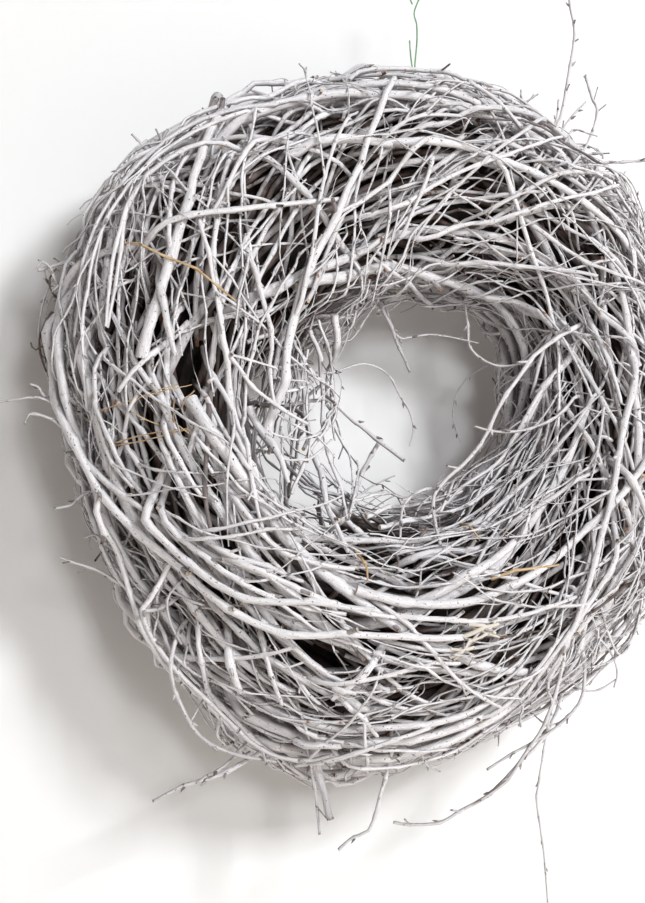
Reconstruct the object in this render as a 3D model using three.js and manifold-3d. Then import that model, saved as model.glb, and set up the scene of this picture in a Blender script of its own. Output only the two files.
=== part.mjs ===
// A wreath of whitewashed twigs that hangs flat against a wall by a thin green wire.
// The ring stands upright in the XZ plane, its face looks along -Y and the wall is behind it, at +Y.
// The origin is the top of the wire's eye, where a nail carries the wreath. All sizes are in millimetres.
import * as THREE from "three";
import { mergeVertices } from "three/addons/utils/BufferGeometryUtils.js";
import Module from "manifold-3d";

// The ring, measured every 45 degrees round the hole, from the right side up over the top.
// The twigs are packed loosely, so it is thin at the right and heavy at the lower left.
const RING_RADIUS = [124, 135, 138, 133, 139, 150, 149, 128];
const TUBE_HALF_WIDTH = [51, 57, 68, 80, 86, 96, 90, 67];
const HALF_DEPTH_BASE = 40;
const HALF_DEPTH_SHARE = 0.33;

// The bunches that the ring is laid up from, each with its tips over the roots of the next.
const BUNCHES = 10;
const TWIGS_PER_BUNCH = 20;
const TIP_OVERLAP = 0.42;
const CORE_DEPTH = [22.5, 29];
const CORE_TWIGS = 24;
const CORE_SLANT = 13.5;
const CORE_STEPS = 2;
const ROOT_DEPTH = 36;
const TWIG_RADIUS = [3.6, 5];
const TWIG_SLANT = [4, 20];
const TWIG_TAPER = 0.62;
const FORKS_PER_BUNCH = 2;
const FIRST_FORK = 3;
const FORK_RADIUS = 1.7;
const TWIG_SIDES = 3;
const LONG_TWIG_SIDES = 4;
const BUNCH_TURN = 5;

// Heights are measured from the ring's outer surface, and are negative inside it.
const LAYER_SPLIT = -10.4;
const LAYER_GAP = 1.6;
const LONG_TWIG_FLOOR = 1.6;
const LONG_TWIG_STEP = 11;
const RISE_ANGLE = 5;
const STRAY_STEP = 16;
const CORE_GAP = 0.6;

// The stout twig at the top that the wire holds, as angle and turn of its ends.
const HANGER = { bunch: 2, radius: 3.6, height: 7, angle: 88, turn: 4, root: 104, tip: 77 };

// The hanging wire: a cut tail, a bend round the stout twig, a rise and an eye.
const WIRE_DIAMETER = 1;
const WIRE_SIDES = 8;
const WIRE_STEPS = 60;
const WIRE_BEND_ROOM = 0.4;
const EYE_CENTRE = new THREE.Vector3(19, 18, 282);
const EYE_RADIUS = 6;

const SECTOR = 360 / BUNCHES;
const WHITEWASH = { color: 0xd9d6d8, roughness: 0.92, metalness: 0 };
const GREEN_LACQUER = { color: 0x8fb48c, roughness: 0.45, metalness: 0.2 };

// The long twigs that lie over the face and the rim, by the bunch that they grow out of.
// Their stops are pairs of an angle round the ring and a turn round its tube, from root to tip.
const LONG_TWIGS = [
  {
    bunch: 3, radius: 5.5,
    stops: [[137, 14], [152, 4], [166, 1], [190, 32], [220, 57], [243, 76], [276, 86]],
  },
  { bunch: 5, radius: 4.5, stops: [[201, 57], [211, 59], [223, 70], [238, 87]] },
  { bunch: 5, radius: 4.2, stops: [[203, 67], [214, 74], [236, 95], [264, 101]] },
  { bunch: 5, radius: 3.8, stops: [[202, 90], [221, 102], [238, 112]] },
  { bunch: 7, radius: 4.5, stops: [[275, 50], [260, 40], [246, 10], [238, 16], [218, 30], [215, 38]] },
  { bunch: 9, radius: 4, stops: [[355, 84], [322, 80], [308, 76], [294, 58], [282, 32]] },
  { bunch: 5, radius: 5.5, stops: [[201, 116], [160, 112], [140, 106], [118, 88], [101, 60]] },
  { bunch: 3, radius: 4.2, stops: [[137, 72], [148, 58], [156, 28]] },
  { bunch: 3, radius: 4.2, stops: [[139, 74], [133, 80], [127, 84]] },
  { bunch: 2, radius: 4.2, stops: [[104, 46], [88, 32], [80, 36], [70, 62]] },
  { bunch: 1, radius: 4, stops: [[68, 66], [50, 58], [30, 48], [-8, 24]] },
  { bunch: 1, radius: 3.6, stops: [[64, 96], [46, 92], [14, 100]] },
  { bunch: 0, radius: 3.8, stops: [[32, 74], [12, 70], [-30, 46]] },
  { bunch: 6, radius: 4, stops: [[245, 114], [268, 114], [290, 106], [312, 98]] },
  { bunch: 8, radius: 3.6, stops: [[317, 108], [338, 112], [366, 118]] },
  { bunch: 4, radius: 4, stops: [[176, 100], [160, 92], [146, 88]] },
  { bunch: 4, radius: 4, stops: [[172, 60], [186, 70], [197, 76]] },
  { bunch: 9, radius: 4, stops: [[352, 30], [336, 20], [300, 10]] },
  { bunch: 0, radius: 3.8, stops: [[24, 12], [40, 6], [66, 14]] },
];

// The stray twigs that stand out of the ring. Each is rooted at an angle and a turn,
// and goes on through free points that are measured from the middle of the hole.
const STRAY_TWIGS = [
  {
    bunch: 3, radius: 3.6, tip: 3.4, root: [130, 14],
    path: [[-127, -12, 184]],
  },
  {
    bunch: 1, radius: 1.4, tip: 0.8, root: [62, 78],
    path: [[100, -30, 182], [112, -22, 206], [117, -20, 234], [114, -18, 270]],
  },
  {
    bunch: 1, radius: 1.2, tip: 1, root: [58, 40],
    path: [[110, -20, 181], [128, -20, 194], [122, -20, 213]],
  },
  {
    bunch: 1, radius: 1.2, tip: 0.8, root: [57, 24],
    path: [[140, -20, 157], [172, -20, 160]],
  },
  {
    bunch: 4, radius: 1.8, tip: 1, root: [177, 350],
    path: [[-236, -8, -6], [-250, -12, -9], [-268, -14, -16]],
  },
  {
    bunch: 4, radius: 3.6, tip: 3.4, root: [170, 338],
    path: [[-246, 4, 26]],
  },
  {
    bunch: 4, radius: 1.3, tip: 0.9, root: [166, 338],
    path: [[-227, 12, 60], [-242, 4, 72]],
  },
  {
    bunch: 5, radius: 1.4, tip: 1, root: [208, 18],
    path: [[-214, -22, -111], [-231, -20, -103]],
  },
  {
    bunch: 5, radius: 1.6, tip: 1.2, root: [202, 10],
    path: [[-222, -20, -78], [-232, -22, -72]],
  },
  {
    bunch: 6, radius: 2, tip: 1.3, root: [240, 350],
    path: [[-154, -20, -233], [-178, -20, -241]],
  },
  {
    bunch: 6, radius: 3.4, tip: 3.2, root: [247, 346],
    path: [[-90, 4, -233], [-72, -4, -260]],
  },
  {
    bunch: 7, radius: 1.5, tip: 1.1, root: [273, 2],
    path: [[-22, -16, -245], [-46, -20, -264], [-69, -20, -276]],
  },
  {
    bunch: 7, radius: 1.6, tip: 1.1, root: [282, 8],
    path: [[46, -20, -233], [26, -20, -250], [-4, -20, -263], [-33, -20, -262]],
  },
  {
    bunch: 7, radius: 1.3, tip: 0.8, root: [285, 16],
    path: [[68, -26, -218], [60, -20, -250], [63, -18, -284], [64, -20, -315]],
  },
];

const wasm = await Module();
wasm.setup();

// A repeatable random number between low and high.
function dice(seed) {
  let state = seed;
  return (low, high) => {
    state = (state + 0x6d2b79f5) | 0;
    let mixed = Math.imul(state ^ (state >>> 15), 1 | state);
    mixed = (mixed + Math.imul(mixed ^ (mixed >>> 7), 61 | mixed)) ^ mixed;
    return low + ((high - low) * ((mixed ^ (mixed >>> 14)) >>> 0)) / 2 ** 32;
  };
}

// A smooth value between the sizes that are given every 45 degrees round the ring.
function roundRing(sizes, angle) {
  const count = sizes.length;
  const place = ((((angle / 360) * count) % count) + count) % count;
  const first = Math.floor(place);
  const share = place - first;
  const [a, b, c, d] = [-1, 0, 1, 2].map((step) => sizes[(first + step + count) % count]);
  const bend = (2 * a - 5 * b + 4 * c - d) * share + (3 * b - a - 3 * c + d) * share * share;
  return b + (share * (c - a + bend)) / 2;
}

// The point at an angle round the ring, a turn round its tube and a height above its surface.
// Turn 0 is the outer rim, 90 the face, 180 the rim of the hole and 270 the back.
function onRing(angle, turn, height) {
  const halfWidth = roundRing(TUBE_HALF_WIDTH, angle);
  const halfDepth = HALF_DEPTH_BASE + HALF_DEPTH_SHARE * halfWidth;
  const round = THREE.MathUtils.degToRad(angle);
  const turned = THREE.MathUtils.degToRad(turn);
  const reach = roundRing(RING_RADIUS, angle) + (halfWidth + height) * Math.cos(turned);
  const forward = (halfDepth + height) * Math.sin(turned);
  return new THREE.Vector3(reach * Math.cos(round), -forward, reach * Math.sin(round));
}

// A closed rod with flat ends through stations, each a point with the radius there.
function rod(stations, sides, roll = 0) {
  const steps = stations.length - 1;
  const geometry = new THREE.CylinderGeometry(1, 1, 1, sides, steps);
  const position = geometry.attributes.position;
  let up = new THREE.Vector3(Math.SQRT1_2, Math.sin(roll), Math.cos(roll));
  const rings = stations.map(({ point, radius }, index) => {
    const before = stations[Math.max(index - 1, 0)].point;
    const after = stations[Math.min(index + 1, steps)].point;
    const along = after.clone().sub(before).normalize();
    up = up.clone().addScaledVector(along, -up.dot(along)).normalize();
    return { point, radius, up, side: new THREE.Vector3().crossVectors(up, along) };
  });
  for (let i = 0; i < position.count; i += 1) {
    const ring = rings[Math.round((position.getY(i) + 0.5) * steps)];
    const vertex = ring.point.clone();
    vertex.addScaledVector(ring.up, ring.radius * position.getX(i));
    vertex.addScaledVector(ring.side, ring.radius * position.getZ(i));
    position.setXYZ(i, vertex.x, vertex.y, vertex.z);
  }
  return geometry;
}

// The packed middle of a bunch, which its twigs are rooted in: twigs side by side, seen as ridges
// that wind round the tube and go on from one bunch to the next.
function core(start) {
  const gap = THREE.MathUtils.radToDeg(CORE_GAP / 2 / roundRing(RING_RADIUS, start));
  const geometry = new THREE.CylinderGeometry(1, 1, 1, 2 * CORE_TWIGS, CORE_STEPS);
  const position = geometry.attributes.position;
  for (let i = 0; i < position.count; i += 1) {
    const angle = start + gap + (position.getY(i) + 0.5) * (SECTOR - 2 * gap);
    const bearing = THREE.MathUtils.radToDeg(Math.atan2(position.getZ(i), position.getX(i)));
    const turn = bearing + (CORE_SLANT * angle) / SECTOR;
    const isRim = Math.hypot(position.getX(i), position.getZ(i)) > 0.5;
    const isRidge = Math.round((bearing * CORE_TWIGS) / 180) % 2 === 0;
    const depth = isRim ? CORE_DEPTH[isRidge ? 0 : 1] : roundRing(TUBE_HALF_WIDTH, angle);
    const vertex = onRing(angle, isRim ? turn : 0, -depth);
    position.setXYZ(i, vertex.x, vertex.y, vertex.z);
  }
  return geometry;
}

// One twig of a bunch. It leaves the core, runs low under the tips of the bunch before,
// then rises and lies over the roots of the bunch after.
function bunchTwig(start, turn, random) {
  const radius = random(...TWIG_RADIUS);
  const root = random(0.14, 0.5);
  const tip = random(0.98, 1 + TIP_OVERLAP);
  const slant = random(...TWIG_SLANT);
  const low = LAYER_SPLIT - LAYER_GAP / 2 - radius;
  const high = LAYER_SPLIT + LAYER_GAP / 2 + radius;
  const rise = Math.max(root + 0.16, TIP_OVERLAP + 0.04);
  const over = Math.min(0.93, tip - 0.04);
  const shares = [root, rise, (rise + over) / 2, over, tip];
  const heights = [-ROOT_DEPTH, low, (low + high) / 2, high, high - radius * (1 - TWIG_TAPER)];
  return shares.map((share, index) => {
    const wave = index > 0 && index < 4 ? random(-2, 2) : 0;
    const point = onRing(start + share * SECTOR, turn + slant * share + wave, heights[index]);
    return { point, radius: radius * THREE.MathUtils.lerp(1, TWIG_TAPER, index / 4) };
  });
}

// A thin side twig that forks off a bunch's twig before its tip.
function forkTwig(parent, random) {
  const from = parent[2].point;
  const along = parent[4].point.clone().sub(from);
  const sideways = new THREE.Vector3().crossVectors(along, new THREE.Vector3(0, 1, 0)).normalize();
  sideways.multiplyScalar(Math.sign(random(-1, 1)) * random(8, 14));
  const end = from.clone().addScaledVector(along, random(0.7, 0.95)).add(sideways);
  const half = from.clone().lerp(end, 0.55).addScaledVector(sideways, 0.15);
  return [from, half, end].map((point, index) => ({ point, radius: FORK_RADIUS * (1 - 0.15 * index) }));
}

// A long twig that leaves its bunch's core and runs over the other bunches.
function longTwig({ stops, radius, height = LONG_TWIG_FLOOR + radius, tip = radius * 0.65 }) {
  const route = stops.map(([angle, turn]) => new THREE.Vector3(angle, turn, 0));
  const path = new THREE.CatmullRomCurve3(route, false, "centripetal");
  const span = Math.abs(stops[0][0] - stops.at(-1)[0]);
  const steps = Math.max(2, Math.round(span / LONG_TWIG_STEP));
  const stations = [{ point: onRing(...stops[0], -ROOT_DEPTH), radius }];
  for (let step = 0; step <= steps; step += 1) {
    const share = THREE.MathUtils.lerp(RISE_ANGLE / span, 1, step / steps);
    const { x: angle, y: turn } = path.getPointAt(share);
    const thickness = THREE.MathUtils.lerp(radius, tip, share);
    stations.push({ point: onRing(angle, turn, height - radius + thickness), radius: thickness });
  }
  return stations;
}

// A stray twig, from its root in the core out through its free points.
function strayTwig({ root, radius, tip, path }) {
  const foot = onRing(...root, -ROOT_DEPTH);
  const surface = onRing(...root, LONG_TWIG_FLOOR);
  const free = path.map((point) => new THREE.Vector3(...point));
  const curve = new THREE.CatmullRomCurve3([foot, surface, ...free], false, "centripetal");
  const steps = Math.max(3, Math.round(curve.getLength() / STRAY_STEP));
  return curve.getSpacedPoints(steps).map((point, step) => {
    return { point, radius: THREE.MathUtils.lerp(radius, tip, step / steps) };
  });
}

// Turns a closed geometry into a solid that can be joined.
function solid(geometry) {
  geometry.deleteAttribute("normal");
  geometry.deleteAttribute("uv");
  const merged = mergeVertices(geometry, 1e-4);
  const vertProperties = merged.attributes.position.array;
  const triVerts = new Uint32Array(merged.index.array);
  return new wasm.Manifold(new wasm.Mesh({ numProp: 3, vertProperties, triVerts }));
}

// Joins solids, fills what the joint seals and drops what stays loose.
function fuse(solids) {
  const bodies = wasm.Manifold.union(solids).decompose();
  const largest = bodies.reduce((best, body) => (body.volume() > best.volume() ? body : best));
  const { vertProperties, triVerts } = largest.getMesh();
  const geometry = new THREE.BufferGeometry();
  geometry.setAttribute("position", new THREE.BufferAttribute(new Float32Array(vertProperties), 3));
  geometry.setIndex(new THREE.BufferAttribute(new Uint32Array(triVerts), 1));
  return geometry;
}

// One bunch: its core, its twigs with their forks, and the long and stray twigs that grow out of it.
function bunch(index) {
  const random = dice(101 + index);
  const start = index * SECTOR;
  const rods = [];
  for (let i = 0; i < TWIGS_PER_BUNCH; i += 1) {
    const turn = ((i + random(-0.25, 0.25)) * 360) / TWIGS_PER_BUNCH + index * BUNCH_TURN;
    const twig = bunchTwig(start, turn, random);
    rods.push(rod(twig, TWIG_SIDES, random(0, Math.PI)));
    if (i % Math.round(TWIGS_PER_BUNCH / FORKS_PER_BUNCH) === FIRST_FORK) {
      rods.push(rod(forkTwig(twig, random), TWIG_SIDES));
    }
  }
  const grownHere = (twig) => twig.bunch === index;
  LONG_TWIGS.filter(grownHere).forEach((twig) => rods.push(rod(longTwig(twig), LONG_TWIG_SIDES)));
  STRAY_TWIGS.filter(grownHere).forEach((twig) => rods.push(rod(strayTwig(twig), TWIG_SIDES)));
  if (grownHere(HANGER)) {
    const stops = [[HANGER.root, HANGER.turn], [HANGER.tip, HANGER.turn]];
    rods.push(rod(longTwig({ ...HANGER, stops, tip: HANGER.radius }), LONG_TWIG_SIDES));
  }
  return fuse([core(start), ...rods].map(solid));
}

// The line of the wire: down in front of the stout twig, round under it, up behind it and into the eye.
function wireLine() {
  const twig = onRing(HANGER.angle, HANGER.turn, HANGER.height);
  const grip = HANGER.radius + WIRE_BEND_ROOM + WIRE_DIAMETER / 2;
  const beside = (x, y, z) => new THREE.Vector3(x, y, z).add(twig);
  const points = [
    beside(-3.4, -grip, 21),
    beside(-3, -grip, 9),
    beside(-2, -grip, 0),
    beside(-1, -grip * Math.SQRT1_2, -grip * Math.SQRT1_2),
    beside(0, 0, -grip),
    beside(1, grip * Math.SQRT1_2, -grip * Math.SQRT1_2),
    beside(2, grip, 0),
    beside(3.4, grip + 0.6, 11),
    beside(6.6, grip + 4, 27),
    beside(8.4, grip + 8, 40),
    new THREE.Vector3(EYE_CENTRE.x - 0.6, EYE_CENTRE.y, EYE_CENTRE.z - 2.7 * EYE_RADIUS),
  ];
  for (let bearing = -35; bearing <= 215; bearing += 25) {
    const round = THREE.MathUtils.degToRad(bearing);
    const reach = new THREE.Vector3(Math.cos(round), 0, Math.sin(round)).multiplyScalar(EYE_RADIUS);
    points.push(reach.add(EYE_CENTRE));
  }
  points.push(new THREE.Vector3(EYE_CENTRE.x - 1.7, EYE_CENTRE.y, EYE_CENTRE.z - 1.8 * EYE_RADIUS));
  return new THREE.CatmullRomCurve3(points, false, "centripetal");
}

// The wire itself, a round section drawn along its line.
function wire() {
  const section = new THREE.Shape();
  for (let side = 0; side < WIRE_SIDES; side += 1) {
    const round = (side / WIRE_SIDES) * 2 * Math.PI;
    const [x, y] = [Math.cos(round), Math.sin(round)].map((value) => (value * WIRE_DIAMETER) / 2);
    side === 0 ? section.moveTo(x, y) : section.lineTo(x, y);
  }
  const drawn = { steps: WIRE_STEPS, extrudePath: wireLine(), curveSegments: 1 };
  return new THREE.ExtrudeGeometry(section, drawn);
}

// One named piece of the wreath.
function piece(name, geometry, look) {
  const mesh = new THREE.Mesh(geometry, new THREE.MeshStandardMaterial(look));
  mesh.name = name;
  return mesh;
}

// The pieces are made about the middle of the hole, then hung so that the nail is at the origin.
const ring = new THREE.Group();
ring.position.copy(EYE_CENTRE).negate();
ring.position.z -= EYE_RADIUS - WIRE_DIAMETER / 2;
for (let index = 0; index < BUNCHES; index += 1) {
  ring.add(piece(`twig_bunch_${String(index + 1).padStart(2, "0")}`, bunch(index), WHITEWASH));
}
ring.add(piece("hanging_wire", wire(), GREEN_LACQUER));

const wreath = new THREE.Group();
wreath.add(ring);

export default wreath;
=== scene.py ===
"""A wall wreath of whitewashed twigs, dressed round its solid model.

The ring is laid up as a real one is. The twigs packed inside go on first, then stouter and thinner
ones by turns, each resting on what already lies there. Long twigs are wound over them, and loose
ends are left standing out.
Lengths inside the making of twigs are in millimetres about the middle of the hole, and every
finished mesh is in metres in the frame of the solid model.
"""

import math
from collections import namedtuple

import bpy
import numpy as np
from bpy.props import FloatProperty, FloatVectorProperty, IntProperty, PointerProperty
from mathutils import Matrix, Vector


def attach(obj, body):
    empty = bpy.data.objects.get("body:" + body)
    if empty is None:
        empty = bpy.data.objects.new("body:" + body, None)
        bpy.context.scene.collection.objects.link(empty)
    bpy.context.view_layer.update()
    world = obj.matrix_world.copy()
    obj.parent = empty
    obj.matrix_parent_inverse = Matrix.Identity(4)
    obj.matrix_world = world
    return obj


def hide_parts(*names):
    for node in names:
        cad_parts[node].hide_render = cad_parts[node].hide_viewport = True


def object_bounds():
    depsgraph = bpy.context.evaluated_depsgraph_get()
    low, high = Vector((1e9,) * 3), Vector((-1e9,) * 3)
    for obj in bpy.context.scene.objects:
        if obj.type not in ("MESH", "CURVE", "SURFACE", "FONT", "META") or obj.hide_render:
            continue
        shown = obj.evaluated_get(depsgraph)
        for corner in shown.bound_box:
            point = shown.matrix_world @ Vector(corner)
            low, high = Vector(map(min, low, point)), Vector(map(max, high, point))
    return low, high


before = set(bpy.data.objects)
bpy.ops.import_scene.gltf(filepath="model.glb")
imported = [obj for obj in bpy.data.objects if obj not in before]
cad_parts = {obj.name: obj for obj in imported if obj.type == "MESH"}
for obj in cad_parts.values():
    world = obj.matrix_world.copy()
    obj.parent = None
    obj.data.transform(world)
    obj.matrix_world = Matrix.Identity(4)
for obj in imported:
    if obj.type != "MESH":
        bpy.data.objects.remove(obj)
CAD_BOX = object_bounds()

bl_info = {
    "name": "Whitewashed Twig Wreath",
    "version": (1, 0, 0),
    "blender": (4, 5, 0),
    "location": "3D View > Sidebar > Wreath",
    "description": "Builds a wall wreath of whitewashed twigs with its hanging wire",
    "category": "Add Mesh",
}

MM = 0.001

# The ring, measured every 45 degrees round the hole, from the right side up over the top.
RING_RADIUS = [124, 135, 138, 133, 139, 150, 149, 128]
TUBE_HALF_WIDTH = [51, 57, 68, 80, 86, 96, 90, 67]
HALF_DEPTH_BASE = 40
HALF_DEPTH_SHARE = 0.33
RING_CENTRE = np.array((-19, -18, -287.5))
# How far the twigs end over the ring's even surface at its outer rim and at the rim of the hole,
# measured every 15 degrees.
OUTER_RISE = [1, 1, 2, 8, 2, 2, 1, -2, 1, 8, 10, 5, -7, -16, -22, -22, -16, -10, -16, -17, -6, 1, 1, 1]
HOLE_RISE = [-2, -4, -5, -3, 2, 3, 2, -2, -6, -7, -7, -8, -8, -8, -8, -8, -8, -10, -8, -6, -5, -5, -4, -3]
# The bunches share the ring evenly. Stray twigs are rooted at a depth under its surface, and traced
# ones lie over it, above a floor.
BUNCHES = 10
SECTOR = 360 / BUNCHES
ROOT_DEPTH = 25.2
FACE_FLOOR = 0.5

# The stout twig at the top that the wire holds, how far its ends dip into the ring, and how fast.
HANGER = {"radius": 3.6, "height": 7, "angle": 88, "turn": 4, "root": 104, "tip": 77, "dip": 12,
          "ends": 4.5, "taper": 0.9}
# The wire, the room that it leaves round the twig, and its eye, in mm from the middle of the hole.
WIRE_DIAMETER = 1
WIRE_BEND_ROOM = 0.4
EYE_CENTRE = (19, 18, 282)
EYE_RADIUS = 6

# The heap of twigs is kept as a height over the ring's surface in cells of half a degree round
# the ring and one degree round its tube. Its floor lies HEART_DEPTH under that surface.
ANGLE_CELLS = 720
TURN_CELLS = 360
HEART_DEPTH = 30
# Where the wall stands behind the ring, and the lean of the twigs, in degrees off the ring's run,
# measured every 45 degrees like the ring.
WALL_SIDE = 69.5
LEANS = [18, 24, 27, 15, 9, 16, 15, 16]
# The angle at which the ring is heaviest, the turns between which its back and the side towards the
# hole lie, and the most square millimetres that a degree by a degree takes up on it.
HEAVY_ANGLE = 205
BACK = (225, 315)
HOLE_SIDE = (95, 225)
LARGEST_CELL = 6.5
# The ring is loose at the left of the hole, where the wall is seen between the twigs.
LOOSE = {"angle": 204, "angle_reach": 46, "turn": 168, "turn_reach": 92, "edge": 1.6, "depth": 46,
         "fill": 14}
LOOSE_FROM = 0.4

# A kind of twig: its radius at the root, its length and the space between its nodes in mm,
# how far its course turns to and fro at its nodes and strays there, in degrees, how stiffly it
# cuts straight over the ring, the share by which a node is thicker, the shares of nodes that carry
# a bud or a cut stub, the share that forks, and the sides of its section.
Kind = namedtuple("Kind", "name radius length internode zigzag sway bow knob buds stubs forks sides")
PACKED = Kind("packed", (1.5, 3.8), (150, 320), (34, 50), 1.5, 3, 0.5, 0.05, 0.0, 0.0, 0.0, 5)
STOUT = Kind("stout", (2.5, 4.0), (190, 360), (28, 42), 1.5, 2, 0.6, 0.16, 0.06, 0.45, 0.2, 8)
MEDIUM = Kind("medium", (1.35, 2.5), (140, 300), (17, 27), 2.4, 2.1, 0.55, 0.28, 0.16, 0.42, 0.2, 6)
THIN = Kind("thin", (0.65, 1.2), (80, 210), (12, 20), 3, 2.6, 0.4, 0.34, 0.3, 0.16, 0.12, 4)
FINE = Kind("fine", (0.36, 0.6), (30, 100), (8, 13), 4, 5, 0.2, 0.4, 0.26, 0.0, 0.0, 3)
KINDS = [PACKED, STOUT, MEDIUM, THIN, FINE]
KIND_NAMES = [kind.name for kind in KINDS]
# The share of nodes that carry a bud on a twig that stands free.
STRAY_BUDS = 0.55
# The share of places kept for a kind at the light end of the ring and at its heavy end.
ENDS_SHARE = {STOUT: (0.25, 1), MEDIUM: (0.6, 1), THIN: (1, 0.5)}

# The rounds in which twigs go on: the kind, the setting that counts them, its share, and the height
# that most of a twig keeps under. Then come how many places are tried for each twig, the share that
# cross the others and the share that arch up. The finest go on after the twigs that are traced.
ROUNDS = [
    (PACKED, "packed_twigs", 1, -9, 3, 0.3, 0),
    (MEDIUM, "medium_twigs", 0.25, -3, 3, 0.3, 0),
    (STOUT, "stout_twigs", 0.6, 3, 3, 0.3, 0),
    (THIN, "thin_twigs", 0.3, 0, 3, 0.3, 0),
    (MEDIUM, "medium_twigs", 0.5, 2, 3, 0.3, 0),
    (STOUT, "stout_twigs", 0.4, 6.5, 3, 0.3, 0),
    (THIN, "thin_twigs", 0.4, 3, 3, 0.3, 0),
    (MEDIUM, "medium_twigs", 0.25, 5, 2, 0.35, 0.3),
    (THIN, "thin_twigs", 0.4, 5, 2, 0.35, 0.3),
]
LAST_ROUND = (FINE, "fine_twigs", 1, 6, 2, 0.35, 0.3)
# The space between the samples of a course in mm, how far it is drawn to straight lines between its
# nodes, how far a twig stays stiff, in mm and again for each mm of its radius, and how thick its tip
# is against its root.
SAMPLE_LENGTH = 1.3
STRAIGHTNESS = 0.6
STIFFNESS = 6
TIP_SHARE = 0.55
# How a course strays: how steadily it curls, as a share of its kind's sway, and how much its bow
# varies.
CURL_SHARE = 0.35
BOW_SPREAD = (0.5, 1.4)
# The share of twigs that run on to greater angles, and how the lean spreads, in degrees. A twig that
# crosses the others has its mean lean times CROSS_LEAN, with a wider spread.
ONWARD_SHARE = 0.65
LEAN_SPREAD = 11
CROSS_LEAN = -0.7
CROSS_SPREAD = 26
# What counts against a place besides its mean height: its peak, and lying in the loose part.
PEAK_WEIGHT = 0.4
LOOSE_WEIGHT = 30
# The percentile of a twig's height that its round's limit holds for, and how many mm of a twig may
# lie in the loose part. The kinds that aren't named follow the last range.
MOST_OF_TWIG = 70
LONGEST_LOOSE = {PACKED: 5, STOUT: 8}
MEDIUM_LOOSE = (5, 30)
THIN_LOOSE = (5, 55)
# How deep the root and the tip of a twig go into the heap, in mm, and the share of twigs whose end
# does. The other roots go in a little, and of the other tips of thin twigs a share is lifted.
ROOT = {"dive": (8, 20), "share": 0.8, "shallow": 1.5}
TIP = {"dive": (6, 16), "share": 0.55, "lift": (1, 9), "lifted": 0.4}
# The run in mm over which an end goes in, what each mm of depth adds to it, and the share of a twig's
# length from which its tip is lifted.
DIVE_RUN = 10
DIVE_SLOPE = 1.3
LIFT_FROM = 0.6
# How far a twig arches up in mm, and the share of its paint that a bare one has.
ARCH = (2, 6)
BARE_PAINT = (0.05, 0.3)
# How twigs fork: the length and the thickness against the kind and the parent, the lean off it in
# degrees, the run in mm over which a fork leaves its parent, how deep its tip goes and for what
# share, how far it is lifted otherwise, and how much fewer forks the loose part has.
FORK = {"length": 0.6, "radius": 0.75, "lean": (18, 42), "run": 9, "dive": (3, 12), "share": 0.5,
        "lift": (0, 7), "fewer": 0.8}
# The turn of the middle of the back, and how far off it twigs lie flush.
BACK_TURN = 270
BACK_REACH = 60
# Paint fades inwards to its least share at a depth in mm, as less of it reaches in; the fade is
# also painted shade that darkens the twigs deep in the gaps. It goes deeper where the ring is loose.
PAINT = {"least": 0.05, "depth": 21, "fade": 15, "loose": 32}
# The least and the most height of a traced twig: a share of its radius over the face's floor, and a
# space and a share of the radius over it. Its taper is less, and its tone is drawn from the light
# part of the range.
TRACED_LOW = 0.6
TRACED_SPACE = 4
TRACED_HIGH = 2.4
TRACED_TIP_SHARE = 0.62
TRACED_TONE = (0.4, 1)
STRAY_TONE = (0.5, 1)
# The samples from stop to stop on the lines of traced and of stray twigs.
TRACED_SAMPLES = 40
STRAY_SAMPLES = 24

# How thick a twig is at places between a node and the next, against its even taper.
SWELLING = {
    "stout": {0.0: None, 0.16: 1.01, 0.5: 0.96, 0.86: 1.02},
    "thin": {0.0: None, 0.3: 0.98, 0.7: 0.95},
    "packed": {0.0: None, 0.5: 0.96},
}
SHAPE_OF_KIND = {"packed": "packed", "stout": "stout", "medium": "stout", "thin": "thin", "fine": "thin"}
TIP_SWELLING = 0.97
# How far points stray off a twig's line and how its thickness varies, as shares of its thickness.
POINT_STRAY = 0.07
THICKNESS_SPREAD = 0.05
# Wear is 0 on even paint and 1 where it is worn to bare bark. Each node draws its own, and a twig
# that has lost its bark has 2 all over.
EVEN_WEAR = 0.12
TIP_WEAR = 0.8
PEELED = 2.0
# A bud: how sizes vary, the size on the thinnest twig, what a mm of the twig's radius adds and up to
# which radius, the length at size 1 in mm, how far out it sits as a share of the twig's radius, how it
# leans ahead and sideways, and its thickness and wear along it. Above a radius of the twig it is
# as round as a thin twig.
BUD = {"sizes": (0.8, 1.1), "least": 0.55, "growth": 0.55, "limit": 1.6, "length": 4.2, "out": 0.5,
       "ahead": 0.85, "sideways": 0.6, "shape": np.array([0.75, 1.0, 0.62, 0.1]),
       "wear": np.array([0.5, 0.3, 0.5, 0.9]), "round_from": 0.8}
# A cut stub: how its thickness varies against the twig's, its length over the twig's radius in mm,
# and the rest as for a bud.
STUB = {"sizes": (0.42, 0.66), "length": (2.5, 9), "ahead": 0.75, "sideways": 0.75,
        "shape": np.array([1.25, 1.0, 0.94]), "wear": np.array([0.3, 0.2, 0.9])}
# The least share of a twig's paint that its buds and stubs have, and what a stray tip has. Bare
# strays have little paint all over.
BUD_PAINT = 0.15
TIP_PAINT = 0.7
BARE_STRAY_PAINT = 0.15
# Where on the wood's grain a twig starts, in mm, and how it is rolled about its length, in radians.
GRAIN_START = (0, 900)
ANY_ROLL = (0, 6.3)

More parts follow.
